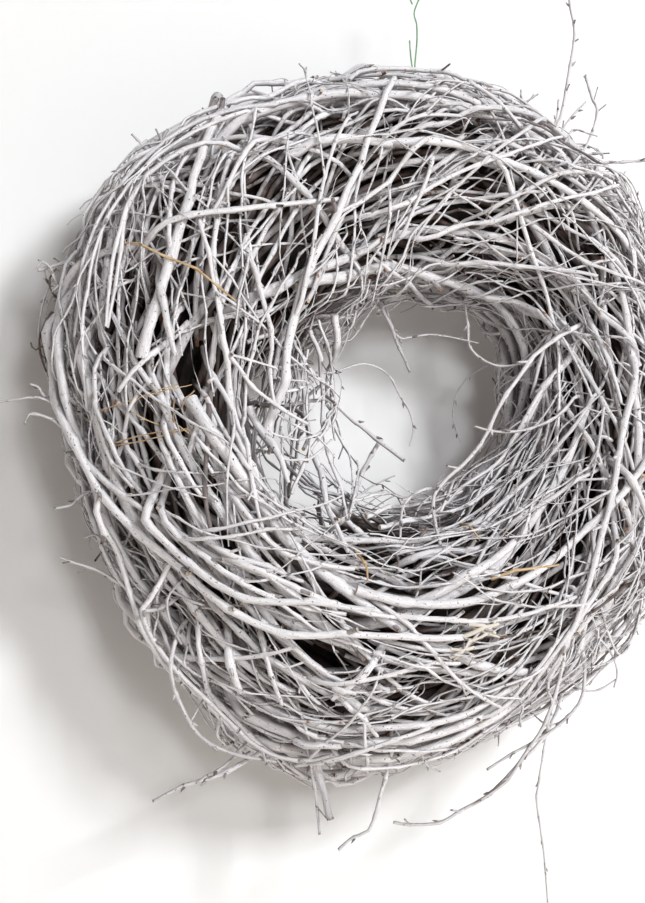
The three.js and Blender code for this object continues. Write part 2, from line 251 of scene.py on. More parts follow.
# The twigs that lie over the face and the rim, by radius and stops of an angle and a turn. Those
# that come last lie on top.
FACE_TWIGS = [
    (1.9, [(102, 16), (112, 27), (123, 33), (132, 25), (142, 21), (148, 11), (154, 6), (162, 9), (170, 9)]),
    (1.6, [(108, 47), (120, 46), (128, 36), (135, 30), (143, 27), (150, 25), (158, 24), (166, 24),
        (173, 20)]),
    (1.5, [(116, 44), (130, 40), (139, 34), (147, 31), (155, 29), (163, 30), (171, 30), (178, 30),
        (185, 30)]),
    (1.7, [(127, 59), (135, 46), (142, 39), (149, 35), (156, 39), (164, 42), (172, 40)]),
    (1.7, [(139, 34), (146, 35), (154, 37), (163, 41), (172, 41)]),
    (2.7, [(158, 51), (164, 60), (171, 68), (177, 71)]),
    (1.6, [(143, 52), (149, 62), (154, 71), (162, 80), (171, 87)]),
    (1.9, [(144, 74), (152, 88), (163, 100), (172, 107), (184, 110), (191, 111)]),
    (2.0, [(121, 50), (128, 57), (135, 61), (142, 65), (148, 66)]),
    (1.7, [(170, 33), (176, 37), (184, 37), (188, 37), (193, 40), (196, 44), (199, 49)]),
    (2.0, [(182, 68), (188, 66), (194, 69), (199, 72), (205, 75)]),
    (2.5, [(188, 107), (197, 109), (206, 108), (212, 106)]),
    (1.7, [(183, 84), (189, 80), (193, 77), (197, 78), (202, 81)]),
    (1.5, [(168, 83), (174, 89), (181, 96), (187, 105), (194, 118), (198, 126)]),
    (1.7, [(173, 81), (180, 86), (186, 89), (191, 94), (197, 95), (204, 93), (211, 91), (217, 88),
        (226, 89)]),
    (2.0, [(200, 83), (204, 85), (211, 85), (216, 85), (221, 85), (228, 85)]),
    (1.1, [(213, 90), (215, 98), (221, 103), (226, 105)]),
    (3.0, [(226, 52), (230, 47), (233, 42), (235, 37)]),
    (2.0, [(218, 53), (225, 41), (230, 27), (234, 12), (239, -4)]),
    (1.3, [(219, 32), (225, 30), (229, 31), (233, 31), (239, 25)]),
    (2.0, [(243, 59), (250, 56), (254, 52), (257, 44)]),
    (2.8, [(254, 85), (251, 76), (249, 66), (247, 57)]),
    (1.9, [(238, 54), (243, 59), (248, 66), (255, 73), (262, 79)]),
    (1.2, [(230, 56), (234, 56), (239, 60), (240, 65)]),
    (1.9, [(227, 67), (232, 62), (235, 57), (238, 51), (241, 44)]),
    (1.7, [(238, 56), (242, 54), (246, 52)]),
    (1.1, [(239, 49), (245, 41), (248, 31)]),
    (1.3, [(249, 11), (255, 22), (263, 22), (270, 17), (275, 29), (281, 39)]),
    (1.7, [(270, 35), (275, 46), (280, 53), (284, 62), (288, 67), (296, 71), (303, 74)]),
    (3.5, [(254, 96), (261, 101), (269, 107), (280, 113), (289, 114)]),
    (1.5, [(247, 72), (253, 72), (257, 74), (263, 79)]),
    (1.7, [(250, 82), (256, 79), (261, 79), (268, 78)]),
    (1.2, [(112, 71), (109, 63), (105, 61), (100, 59)]),
    (1.1, [(132, 107), (128, 117), (127, 129), (130, 141), (137, 151)]),
    (1.5, [(120, 121), (114, 133), (104, 147), (96, 150)]),
    (1.5, [(67, 107), (53, 110), (40, 104), (31, 90), (25, 72)]),
    (1.7, [(125, 106), (109, 113), (98, 110), (87, 101), (76, 89), (68, 74), (61, 50)]),
    (1.8, [(111, 129), (96, 132), (81, 125), (68, 116), (59, 98), (51, 78), (46, 53)]),
    (1.9, [(101, 152), (84, 148), (68, 141), (53, 132), (42, 118), (33, 101)]),
    (1.5, [(88, 80), (92, 93), (96, 105), (100, 116), (106, 127), (111, 135)]),
    (1.9, [(85, 69), (92, 83), (99, 90), (103, 97), (108, 102), (117, 103), (127, 101)]),
    (1.7, [(110, 86), (106, 80), (100, 75), (94, 70), (89, 68), (84, 67)]),
    (1.9, [(31, 116), (20, 114), (11, 109), (1, 105), (-7, 100)]),
    (1.6, [(35, 131), (26, 141), (18, 150), (8, 157), (-3, 161)]),
    (2.7, [(338, 99), (333, 91), (329, 81), (326, 70)]),
    (2.7, [(21, 121), (11, 137), (0, 150), (-15, 161), (-29, 162)]),
    (2.0, [(325, 81), (315, 77), (307, 74), (300, 73), (293, 69), (287, 62), (283, 50)]),
    (1.6, [(343, 118), (341, 109), (341, 101)]),
    (1.1, [(138, 167), (119, 178), (105, 181), (77, 194), (74, 170), (63, 152), (54, 145)]),
    (2.1, [(160, 38), (157, 46), (152, 57), (144, 74), (132, 89), (122, 98)]),
    (1.0, [(140, 8), (143, 37), (146, 54), (147, 64)]),
    (2.2, [(169, 73), (175, 65), (179, 57), (183, 49)]),
    (1.8, [(109, 27), (102, 24), (93, 25), (86, 31), (80, 44), (75, 54), (71, 64)]),
    (3.0, [(198, 112), (191, 111), (181, 115), (170, 116), (158, 113), (147, 109), (135, 105), (125, 100),
        (116, 92), (108, 81), (103, 67), (97, 48)]),
    (2.0, [(200, 84), (206, 85), (212, 85), (217, 87), (222, 88), (229, 92), (235, 98), (239, 100)]),
    (2.0, [(203, 64), (208, 66), (213, 71), (219, 77), (224, 83), (231, 87)]),
    (2.2, [(198, 64), (201, 59), (205, 58), (210, 62), (215, 67), (220, 71), (226, 75), (233, 80),
        (242, 86)]),
    (2.2, [(212, 64), (219, 76), (227, 82), (236, 86), (245, 89), (255, 92)]),
    (2.7, [(196, 65), (198, 57), (202, 52), (206, 52), (210, 55), (214, 60), (219, 65), (224, 69),
        (227, 75), (233, 82), (239, 88), (247, 91)]),
    (1.9, [(242, 89), (254, 92), (266, 93), (278, 90), (289, 86), (298, 80)]),
    (1.6, [(238, 98), (246, 95), (253, 92), (259, 86), (264, 79), (269, 70), (274, 61), (279, 49)]),
    (2.5, [(16, 87), (4, 90), (-5, 95), (-15, 98), (-25, 97), (-34, 94), (-46, 89), (-52, 85), (-59, 79),
        (-68, 66), (-72, 53)]),
    (1.2, [(224, 25), (228, -4), (231, -6), (235, -6), (238, -6), (241, -4), (244, -4), (248, -3)]),
    (2.1, [(213, 55), (215, 34), (217, 21), (220, 14), (225, 14), (229, 13), (234, 12), (240, 3),
        (245, -6), (247, 1), (251, 23), (254, 34), (259, 45), (265, 51)]),
    (3.2, [(163, 12), (168, 7), (174, 5), (180, 7), (185, 15), (189, 22), (194, 28), (199, 34), (204, 42),
        (209, 49), (214, 55), (219, 59), (226, 64), (232, 68), (237, 73), (244, 81), (255, 86),
        (268, 87)]),
]
# The twigs of the loose part at the left of the hole, and along the rim of the hole.
LATTICE_TWIGS = [
    (2.2, [(210, 129), (218, 121), (224, 114), (230, 109), (236, 104)]),
    (2.4, [(145, 144), (156, 157), (166, 172), (186, 164)]),
    (1.5, [(159, 132), (171, 146), (188, 151), (202, 138), (212, 134), (222, 130), (232, 117)]),
    (1.0, [(153, 135), (160, 146), (167, 168), (185, 164), (199, 162), (215, 164), (224, 144), (230, 128),
        (232, 117)]),
    (1.0, [(184, 167), (203, 162), (214, 166), (224, 166), (229, 133), (231, 119)]),
    (1.1, [(166, 123), (176, 136), (186, 166), (208, 149)]),
    (1.2, [(215, 107), (208, 121), (202, 139), (189, 164)]),
    (1.2, [(186, 114), (185, 123), (181, 138)]),
    (0.9, [(167, 134), (176, 133), (189, 131), (200, 129), (210, 118)]),
    (0.9, [(205, 110), (209, 115), (209, 127), (207, 141)]),
    (0.8, [(192, 115), (198, 122), (204, 130), (216, 136), (223, 133)]),
    (0.8, [(177, 117), (174, 126), (176, 136), (182, 141)]),
    (0.7, [(197, 109), (202, 119), (202, 133), (190, 163)]),
    (0.7, [(201, 114), (195, 127), (188, 144), (169, 166)]),
    (1.6, [(238, 129), (251, 147), (270, 163), (290, 164)]),
    (1.7, [(244, 128), (260, 142), (276, 148), (292, 148), (307, 150)]),
    (0.9, [(231, 132), (240, 145), (256, 170), (285, 180), (303, 178)]),
]
# Twigs that the paint missed, tendrils and sticks that have lost their bark, and short cut sticks.
BARE_TWIGS = [
    (1.8, [(185, 85), (193, 83), (200, 79), (206, 76), (212, 73)]),
    (1.0, [(248, 121), (251, 115), (251, 107)]),
]
PEELED_TWIGS = [
    (0.5, [(186, 21), (185, 47), (184, 66), (183, 78)]),
    (0.5, [(190, 65), (188, 58), (186, 53), (185, 55), (184, 61), (183, 73)]),
    (0.5, [(191, 31), (191, 41), (191, 60), (192, 77)]),
    (0.5, [(191, 33), (192, 60), (192, 74), (193, 85)]),
    (0.6, [(184, 79), (186, 75), (188, 74)]),
    (0.6, [(186, 71), (189, 70), (191, 73), (193, 76)]),
    (0.5, [(138, 43), (135, 43), (135, 48), (135, 54)]),
    (1.0, [(158, 36), (158, 47), (159, 56), (159, 66), (160, 75), (162, 83), (164, 91)]),
    (1.2, [(279, 106), (288, 103), (298, 95)]),
    (0.9, [(277, 138), (278, 130), (279, 122)]),
    (0.9, [(238, 108), (242, 103), (244, 100)]),
]
# Splinters of two torn ends.
TORN_TWIGS = [
    (1.6, [(269, 87), (273, 89), (277, 89)]),
    (1.4, [(270, 91), (273, 90), (276, 86)]),
    (1.2, [(270, 85), (273, 86), (277, 91)]),
    (1.0, [(271, 90), (274, 87), (277, 84)]),
    (1.5, [(266, 80), (268, 82), (271, 83)]),
    (1.2, [(266, 83), (269, 82), (271, 80)]),
    (1.0, [(267, 79), (269, 83), (270, 86)]),
]
CUT_STICKS = [
    (2.6, [(246, 28), (249, 35), (252, 38)]),
    (2.2, [(246, 62), (250, 63)]),
    (2.2, [(254, 66), (257, 66)]),
]
# The lists in the order of laying, with how deep the roots go in mm, the tone where it isn't drawn,
# the paint where it is thin, and whether the bark is lost.
TRACED_TWIGS = [
    (LATTICE_TWIGS, {"root_dive": 5}),
    (BARE_TWIGS, {"root_dive": 8, "tone": 0.5, "paint": 0.2}),
    (FACE_TWIGS, {"root_dive": 20}),
    (PEELED_TWIGS, {"root_dive": 5, "tone": 0.2, "is_peeled": True}),
    (TORN_TWIGS, {"root_dive": 3, "tone": 1.0, "is_peeled": True}),
    (CUT_STICKS, {"root_dive": 3, "tone": 0.1}),
]

# The stray twigs that stand out of the ring, by radius at the root and the tip, the angle and
# turn of the root, and free points measured from the middle of the hole.
STRAY_TWIGS = [
    (1.3, 0.8, (300, 80), [(82, -48, -145), (85, -45, -161), (88, -40, -179), (86, -35, -195),
        (74, -30, -208), (59, -28, -217), (42, -26, -225), (27, -25, -233)]),
    (0.9, 0.6, (318, 70), [(130, -40, -125), (130, -36, -141), (125, -33, -157), (112, -30, -170),
        (97, -30, -174), (80, -34, -173), (62, -45, -170)]),
    (0.9, 0.5, (318, 57), [(138, -30, -127), (131, -28, -149), (119, -25, -165), (107, -22, -177),
        (97, -20, -186), (80, -20, -190)]),
    (1.4, 0.9, (293, 58), [(69, -40, -186), (65, -36, -200), (60, -32, -212), (49, -30, -226),
        (37, -28, -241), (21, -26, -251)]),
    (1.0, 0.7, (289, 55), [(63, -40, -187), (66, -38, -193), (66, -36, -202)]),
    (0.8, 0.7, (281, 54), [(42, -45, -192), (45, -43, -197), (43, -42, -202), (44, -40, -208)]),
    (0.8, 0.5, (301, 67), [(99, -40, -158), (98, -38, -167), (90, -38, -157), (95, -40, -147)]),
    (0.9, 0.6, (304, 65), [(105, -40, -153), (114, -36, -167), (125, -32, -158), (133, -30, -140)]),
    (0.9, 0.6, (112, 45), [(-68, -20, 178), (-69, -18, 191), (-70, -18, 203), (-74, -18, 208)]),
    (1.1, 0.8, (112, 27), [(-60, -15, 199), (-46, -15, 202), (-34, -15, 209), (-27, -15, 211),
        (-24, -15, 209)]),
    (1.0, 0.9, (144, 43), [(-165, -20, 139), (-172, -20, 144), (-177, -20, 150), (-181, -20, 154)]),
    (1.3, 1.0, (142, 30), [(-163, -15, 148), (-161, -15, 154), (-158, -15, 160)]),
    (1.8, 1.6, (126, 41), [(-104, -20, 175), (-103, -20, 180)]),
    (3.6, 3.5, (132, 38), [(-129, -12, 171), (-127, -12, 179), (-125, -12, 185)]),
    (1.0, 0.7, (66, 97), [(87, -28, 158), (97, -26, 180), (100, -25, 194)]),
    (1.3, 0.7, (60, 89), [(89, -30, 158), (102, -26, 187), (108, -24, 209), (114, -22, 231),
        (117, -20, 246), (115, -20, 261), (114, -20, 273)]),
    (1.2, 0.7, (64, 81), [(96, -25, 166), (109, -22, 183), (122, -20, 196)]),
    (1.1, 0.8, (56, 55), [(123, -20, 170), (130, -20, 190), (127, -20, 199), (124, -20, 210),
        (123, -20, 215)]),
    (0.8, 0.6, (60, 56), [(110, -22, 175), (120, -20, 175), (129, -20, 173)]),
    (1.0, 0.7, (75, 71), [(74, -20, 182), (76, -20, 191), (76, -20, 201)]),
    (0.8, 0.6, (74, 66), [(74, -20, 187), (82, -20, 195), (88, -20, 199)]),
    (1.1, 0.7, (51, 65), [(129, -22, 153), (144, -20, 156), (164, -18, 159), (179, -18, 160)]),
    (0.9, 0.7, (54, 64), [(109, -25, 154), (129, -22, 161), (131, -22, 157)]),
    (0.7, 0.5, (59, 68), [(108, -24, 164), (122, -22, 165), (130, -22, 159)]),
    (0.7, 0.5, (166, 5), [(-227, 0, 64), (-232, 2, 55), (-235, 5, 37), (-233, 5, 19), (-228, 2, 3),
        (-222, 0, -3)]),
    (0.6, 0.5, (171, 9), [(-228, 5, 48), (-233, 8, 35), (-230, 8, 18), (-224, 4, 12)]),
    (0.6, 0.4, (174, 9), [(-225, 10, 38), (-230, 10, 46), (-228, 8, 56), (-222, 5, 62)]),
    (1.3, 1.0, (161, 8), [(-219, -5, 77), (-225, -4, 75), (-231, -3, 73), (-236, -2, 72)]),
    (0.7, 0.5, (163, 6), [(-227, 0, 61), (-231, 0, 68), (-232, 0, 74)]),
    (0.9, 0.6, (184, 9), [(-230, -10, -9), (-239, -12, -7), (-251, -14, -9), (-263, -16, -11)]),
    (0.8, 0.7, (181, -8), [(-233, -10, -6), (-237, -11, -1), (-242, -12, 1)]),
    (1.0, 0.8, (189, 19), [(-221, -15, -27), (-231, -16, -20), (-243, -18, -18), (-246, -18, -24)]),
    (2.0, 1.6, (194, 30), [(-208, -10, -46), (-213, -10, -42), (-219, -10, -41)]),
    (1.4, 1.2, (195, 26), [(-210, -5, -42), (-214, -5, -39), (-221, -5, -39)]),
    (1.1, 1.0, (197, 18), [(-212, -15, -64), (-220, -16, -71), (-230, -18, -73)]),
    (0.8, 0.7, (206, 21), [(-201, -15, -92), (-206, -16, -88), (-212, -18, -90)]),
    (1.0, 0.8, (213, 13), [(-203, -12, -109), (-218, -14, -104), (-226, -14, -101)]),
    (1.6, 1.0, (245, -4), [(-127, -20, -224), (-139, -20, -229), (-149, -20, -231), (-160, -20, -234),
        (-176, -20, -241)]),
    (1.0, 0.7, (242, 356), [(-134, -22, -223), (-144, -21, -228), (-151, -21, -232)]),
    (1.4, 1.2, (218, 38), [(-176, -30, -133), (-182, -30, -133)]),
    (2.6, 2.3, (248, 32), [(-76, -15, -229), (-74, -20, -243), (-72, -24, -257)]),
    (1.1, 0.9, (247, 31), [(-82, -20, -225), (-80, -22, -242), (-79, -24, -265)]),
    (0.9, 0.7, (255, 25), [(-56, -18, -229), (-60, -18, -232), (-59, -18, -235), (-50, -18, -227)]),
    (1.3, 1.0, (261, 31), [(-34, -18, -231), (-39, -18, -245), (-46, -18, -264), (-58, -18, -269),
        (-66, -18, -275)]),
    (1.4, 0.9, (295, 10), [(67, -24, -214), (50, -22, -230), (30, -20, -248), (10, -20, -257),
        (-3, -20, -263), (-22, -20, -263), (-32, -20, -261)]),
    (1.1, 0.6, (293, 8), [(70, -24, -205), (67, -22, -220), (63, -20, -241), (61, -19, -253),
        (63, -18, -271), (65, -17, -289), (66, -16, -316)]),
    (1.7, 1.3, (212, 53), [(-171, -42, -114), (-178, -40, -126), (-183, -38, -134), (-178, -36, -148),
        (-167, -33, -163), (-157, -31, -174), (-142, -29, -188), (-128, -28, -202), (-118, -27, -211),
        (-104, -27, -219), (-87, -28, -222), (-73, -32, -220)]),
    (1.4, 1.1, (222, 33), [(-166, -34, -159), (-165, -30, -174), (-159, -27, -189), (-150, -25, -204),
        (-137, -24, -213), (-119, -24, -219), (-104, -26, -222)]),
    (1.0, 0.8, (216, 50), [(-169, -40, -128), (-166, -36, -142), (-160, -34, -153)]),
    (1.0, 0.9, (164, -3), [(-226, -6, 65), (-229, -6, 73), (-234, -6, 76), (-237, -6, 72)]),
    (0.8, 0.6, (128, 43), [(-118, -18, 173), (-124, -18, 176)]),
    (0.8, 0.5, (73, 79), [(71, -26, 164), (79, -25, 173), (90, -24, 179)]),
    (0.8, 0.5, (64, 74), [(97, -24, 160), (111, -22, 164), (125, -20, 165), (132, -20, 161)]),
    (0.8, 0.5, (49, 73), [(132, -22, 134), (142, -20, 141), (148, -20, 150)]),
    (0.7, 0.5, (42, 81), [(138, -22, 114), (149, -20, 121), (157, -20, 129)]),
    (0.7, 0.5, (82, 66), [(45, -24, 188), (50, -22, 197), (49, -22, 202)]),
    (0.8, 0.5, (86, 60), [(37, -24, 192), (50, -22, 196), (60, -22, 194)]),
    (0.9, 0.6, (90, 55), [(26, -22, 200), (40, -22, 204), (55, -22, 201)]),
    (0.8, 0.6, (106, 46), [(-46, -18, 200), (-53, -16, 205)]),
    (0.9, 0.6, (118, 36), [(-83, -18, 191), (-83, -16, 198)]),
    (0.7, 0.5, (25, 97), [(136, -30, 66), (146, -28, 71), (156, -26, 74)]),
    (0.8, 0.5, (302, 43), [(112, -30, -167), (117, -26, -178), (115, -24, -187)]),
    (0.8, 0.5, (295, 26), [(93, -28, -188), (104, -26, -188), (117, -24, -182)]),
    (0.7, 0.5, (288, 9), [(64, -26, -206), (74, -24, -208), (83, -24, -203)]),
    (0.8, 0.5, (232, 13), [(-151, -26, -192), (-155, -24, -199)]),
    (0.8, 0.5, (266, 27), [(-10, -22, -229), (-1, -20, -233)]),
]
# Stray twigs without paint.
BARE_STRAYS = [
    (0.9, 0.7, (171, 0), [(-226, -4, 47), (-231, 0, 41), (-235, 2, 30), (-234, 3, 20), (-231, 2, 11)]),
    (0.8, 0.6, (166, -3), [(-228, -4, 58), (-229, -4, 67), (-225, -4, 73)]),
    (0.9, 0.6, (174, 5), [(-228, 0, 23), (-233, 2, 27), (-238, 3, 24), (-240, 3, 29)]),
    (0.8, 0.6, (177, 6), [(-226, -2, 7), (-229, -2, -2), (-226, -4, -9)]),
]
# The twigs that stand across the hole, in the same way.
HOLE_TWIGS = [
    (1.3, 0.9, (110, 179), [(-21, -10, 50), (-17, -12, 40), (-16, -14, 33), (-12, -15, 23), (-8, -16, 12)]),
    (0.9, 0.5, (104, 186), [(-15, -13, 36), (-5, -14, 35), (7, -14, 37), (23, -12, 36), (42, -10, 33)]),
    (0.9, 0.6, (170, 168), [(-47, -15, 15), (-37, -15, 17), (-27, -15, 14), (-20, -15, 8), (-15, -14, -2),
        (-8, -13, -13), (-6, -12, -24), (-9, -12, -34)]),
    (1.3, 1.2, (186, 164), [(-50, -20, -18), (-42, -20, -24), (-31, -20, -33), (-15, -18, -44)]),
    (1.7, 1.5, (231, 120), [(-45, -18, -57), (-37, -16, -43), (-28, -14, -30)]),
    (1.1, 0.9, (60, 177), [(37, -5, 46), (36, -8, 32), (43, -8, 24), (56, -8, 19), (74, -10, 21)]),
    (1.6, 1.1, (22, 124), [(68, -44, 22), (54, -44, 6), (40, -44, -12), (31, -44, -29), (25, -44, -38),
        (14, -46, -49), (0, -48, -60), (-8, -50, -69), (-10, -52, -80), (-8, -56, -100)]),
    (1.2, 0.9, (286, 180), [(-14, -50, -66), (-24, -50, -71), (-30, -52, -80), (-33, -56, -96)]),
    (1.2, 0.9, (356, 129), [(80, -50, -16), (70, -50, -23), (57, -48, -28), (44, -46, -30),
        (32, -44, -29), (23, -42, -26)]),
    (0.7, 0.5, (231, 130), [(-32, -10, -58), (-18, -8, -52)]),
    (0.5, 0.4, (23, 210), [(51, 30, 20), (39, 30, 3), (38, 30, -13), (42, 30, -25)]),
]


def linear(colour):
    """A colour given as sRGB hex, as the linear numbers that a shader takes."""
    shares = [int(colour[place:place + 2], 16) / 255 for place in (1, 3, 5)]
    return tuple(s / 12.92 if s <= 0.04045 else ((s + 0.055) / 1.055) ** 2.4 for s in shares) + (1.0,)


def add_node(tree, kind, links=None, **settings):
    """Adds a node to a tree with its settings, and sets or links its inputs by name or number.

    A node that is given for an input stands for its first output.
    """
    made = tree.nodes.new(kind)
    for name, value in settings.items():
        setattr(made, name, value)
    for name, value in (links or {}).items():
        if isinstance(value, bpy.types.Node):
            value = value.outputs[0]
        if isinstance(value, bpy.types.NodeSocket):
            tree.links.new(value, made.inputs[name])
        else:
            made.inputs[name].default_value = value
    return made


def ease(share):
    """A share of a change, eased in and out."""
    share = np.clip(share, 0, 1)
    return share * share * (3 - 2 * share)


def between(a, b, c, d, share):
    """The value at a share of the way from b to c, on a smooth line through four even stops."""
    bend = (2 * a - 5 * b + 4 * c - d) * share + (3 * b - a - 3 * c + d) * share ** 2
    return b + share * (c - a + bend) / 2


def round_ring(sizes, angle):
    """A smooth value between the sizes that are given at even angles round the ring."""
    place = np.mod(np.asarray(angle, float) / 360 * len(sizes), len(sizes))
    first = np.floor(place).astype(int)
    return between(*(np.take(sizes, first + step, mode="wrap") for step in (-1, 0, 1, 2)), place - first)


def on_ring(angle, turn, height):
    """Points at an angle round the ring, a turn round its tube and a height over its surface.

    Turn 0 is the outer rim, 90 the face, 180 the rim of the hole and 270 the back.
    """
    half_width = round_ring(TUBE_HALF_WIDTH, angle)
    half_depth = HALF_DEPTH_BASE + HALF_DEPTH_SHARE * half_width
    about, turned = np.radians(angle), np.radians(turn)
    reach = round_ring(RING_RADIUS, angle) + (half_width + height) * np.cos(turned)
    forward = (half_depth + height) * np.sin(turned)
    return np.stack([reach * np.cos(about), -forward, reach * np.sin(about)], axis=-1)


RADIUS_BY_DEGREE = round_ring(RING_RADIUS, np.arange(360))
WIDTH_BY_DEGREE = round_ring(TUBE_HALF_WIDTH, np.arange(360))


def pace(angle, turn):
    """Millimetres to a degree, round the ring and round its tube, on the ring's surface."""
    degree = np.asarray(angle).astype(int) % 360
    half_width = WIDTH_BY_DEGREE[degree]
    half_depth = HALF_DEPTH_BASE + HALF_DEPTH_SHARE * half_width
    turned = np.radians(turn)
    reach = RADIUS_BY_DEGREE[degree] + half_width * np.cos(turned)
    girth = np.hypot(half_width * np.sin(turned), half_depth * np.cos(turned))
    return np.radians(1) * reach, np.radians(1) * girth


def on_heap(angle, turn, height):
    """Points as on_ring gives them, over the surface that the twigs reach at the two rims."""
    outward = np.cos(np.radians(turn))
    rise = round_ring(OUTER_RISE, angle) * ease(outward)
    rise += round_ring(HOLE_RISE, angle) * ease(-outward)
    return on_ring(angle, turn, height + rise)


def degrees_off(place, middle):
    """How far a place lies off another, in degrees, either way round."""
    return np.abs(np.mod(np.asarray(place, float) - middle + 180, 360) - 180)


def loose_share(angle, turn):
    """How loose the ring is at a place, from 0 to 1."""
    along = ease(LOOSE["edge"] * (1 - degrees_off(angle, LOOSE["angle"]) / LOOSE["angle_reach"]))
    across = ease(LOOSE["edge"] * (1 - degrees_off(turn, LOOSE["turn"]) / LOOSE["turn_reach"]))
    return along * across


def bunch_at(angle):
    """The number of the bunch, from 0, that grows at an angle."""
    return int(angle // SECTOR) % BUNCHES


def kind_of(radius):
    """The finest kind that has twigs of a radius."""
    return next(kind for kind in reversed(KINDS) if radius <= kind.radius[1] or kind is STOUT)


def smooth_line(stops, samples):
    """Points on a smooth line through stops, with a number of samples from stop to stop."""
    stops = np.asarray(stops, float)
    padded = np.vstack([2 * stops[0] - stops[1], stops, 2 * stops[-1] - stops[-2]])
    share = (np.arange(samples) / samples)[None, :, None]
    line = between(*(padded[i:len(padded) - 3 + i, None, :] for i in range(4)), share)
    return np.vstack([line.reshape(-1, stops.shape[1]), stops[-1:]])


def line_steps(points):
    """The lengths from each point of a line to the next."""
    return np.linalg.norm(np.diff(points, axis=0), axis=1)


def bridged(height, window):
    """A stiff line over a bumpy one: it never dips below it, and bends over a window of samples."""
    view = np.lib.stride_tricks.sliding_window_view(np.pad(height, window, "edge"), 2 * window + 1)
    weight = np.hanning(2 * window + 3)[1:-1]
    highest = np.pad(view.max(1), window, "edge")
    return np.convolve(highest, weight / weight.sum(), "valid")


class Heap:
    """The height of the laid twigs over the ring, in millimetres."""

    def __init__(self, floor):
        angle = np.arange(ANGLE_CELLS)[:, None] * 360 / ANGLE_CELLS
        turn = np.arange(TURN_CELLS)[None, :] * 360 / TURN_CELLS
        self.top = floor + LOOSE["fill"] * loose_share(angle, turn)

    def across(self, angle, turn, radius):
        """The cells under a course at several places across it, and how the twig's round rises there.

        The places lie about a millimetre apart and stop short of the twig's sides.
        """
        count = 2 * int(np.mean(radius) / 1.1) + 3
        shares = np.linspace(-0.9, 0.9, count)[:, None]
        per_angle, per_turn = pace(angle, turn)
        run, climb = np.gradient(angle) * per_angle, np.gradient(turn) * per_turn
        size = np.hypot(run, climb) + 1e-9
        angles = angle - shares * radius * climb / size / per_angle
        turns = turn + shares * radius * run / size / per_turn
        cells = tuple(np.floor(degrees * number / 360).astype(int) % number
                      for degrees, number in ((angles, ANGLE_CELLS), (turns, TURN_CELLS)))
        return cells, radius * np.sqrt(1 - shares ** 2)

    def rest(self, angle, turn, radius, stiffness):
        """The height of the centre line of a twig that rests on the heap."""
        cells, rise = self.across(angle, turn, radius)
        return bridged((self.top[cells] + rise).max(0), stiffness)

    def lay(self, angle, turn, radius, height):
        """Adds a twig to the heap."""
        cells, rise = self.across(angle, turn, radius)
        np.maximum.at(self.top, cells, height + rise)


class Bundle:
    """The centre lines of the twigs of one bunch, gathered as points with their values."""

    VALUES = {"thickness": "FLOAT", "kind": "INT", "tone": "FLOAT", "wear": "FLOAT",
              "paint": "FLOAT", "along": "FLOAT", "roll": "FLOAT"}

    def __init__(self):
        self.points, self.edges, self.count = [], [], 0
        self.values = {name: [] for name in self.VALUES}

    def add(self, points, **values):
        """Adds one line of points, in millimetres, with a value for the line or for each point."""
        size = len(points)
        points[:, 1] = np.minimum(points[:, 1], WALL_SIDE - values["thickness"])
        self.points.append(points)
        start = np.arange(self.count, self.count + size - 1)
        self.edges.append(np.stack([start, start + 1], 1))
        self.count += size
        for name in self.VALUES:
            self.values[name].append(np.broadcast_to(np.asarray(values[name], float), size))

    def mesh(self, name):
        """The gathered lines as a mesh of points and edges, in metres in the solid model's frame."""
        made = bpy.data.meshes.new(name)
        made.vertices.add(self.count)
        edges = np.concatenate(self.edges)
        made.edges.add(len(edges))
        made.vertices.foreach_set("co", ((np.concatenate(self.points) + RING_CENTRE) * MM).ravel())
        made.edges.foreach_set("vertices", edges.ravel())
        for value_name, form in self.VALUES.items():
            values = np.concatenate(self.values[value_name])
            if value_name == "thickness":
                values = values * MM
            attribute = made.attributes.new(value_name, form, "POINT")
            attribute.data.foreach_set("value", values.astype(np.int32 if form == "INT" else np.float32))
        return made


Twig = namedtuple("Twig", "angle turn height radius kind nodes bunch tone", defaults=(0, 0))


def unit(vector):
    """A vector, or rows of vectors, at length one."""
    return vector / (np.linalg.norm(vector, axis=-1, keepdims=True) + 1e-12)


def add_sprout(bundle, random, at, way, length, radii, kind, tone, wear, paint):
    """Adds a bud or a cut stub, which points one way from a twig."""
    shares = np.linspace(0, 1, len(radii))[:, None]
    bundle.add(at + way * length * shares, thickness=radii, kind=KIND_NAMES.index(kind.name), tone=tone,
               wear=wear, paint=paint, along=random.uniform(*GRAIN_START) + shares[:, 0] * length,
               roll=random.uniform(*ANY_ROLL))


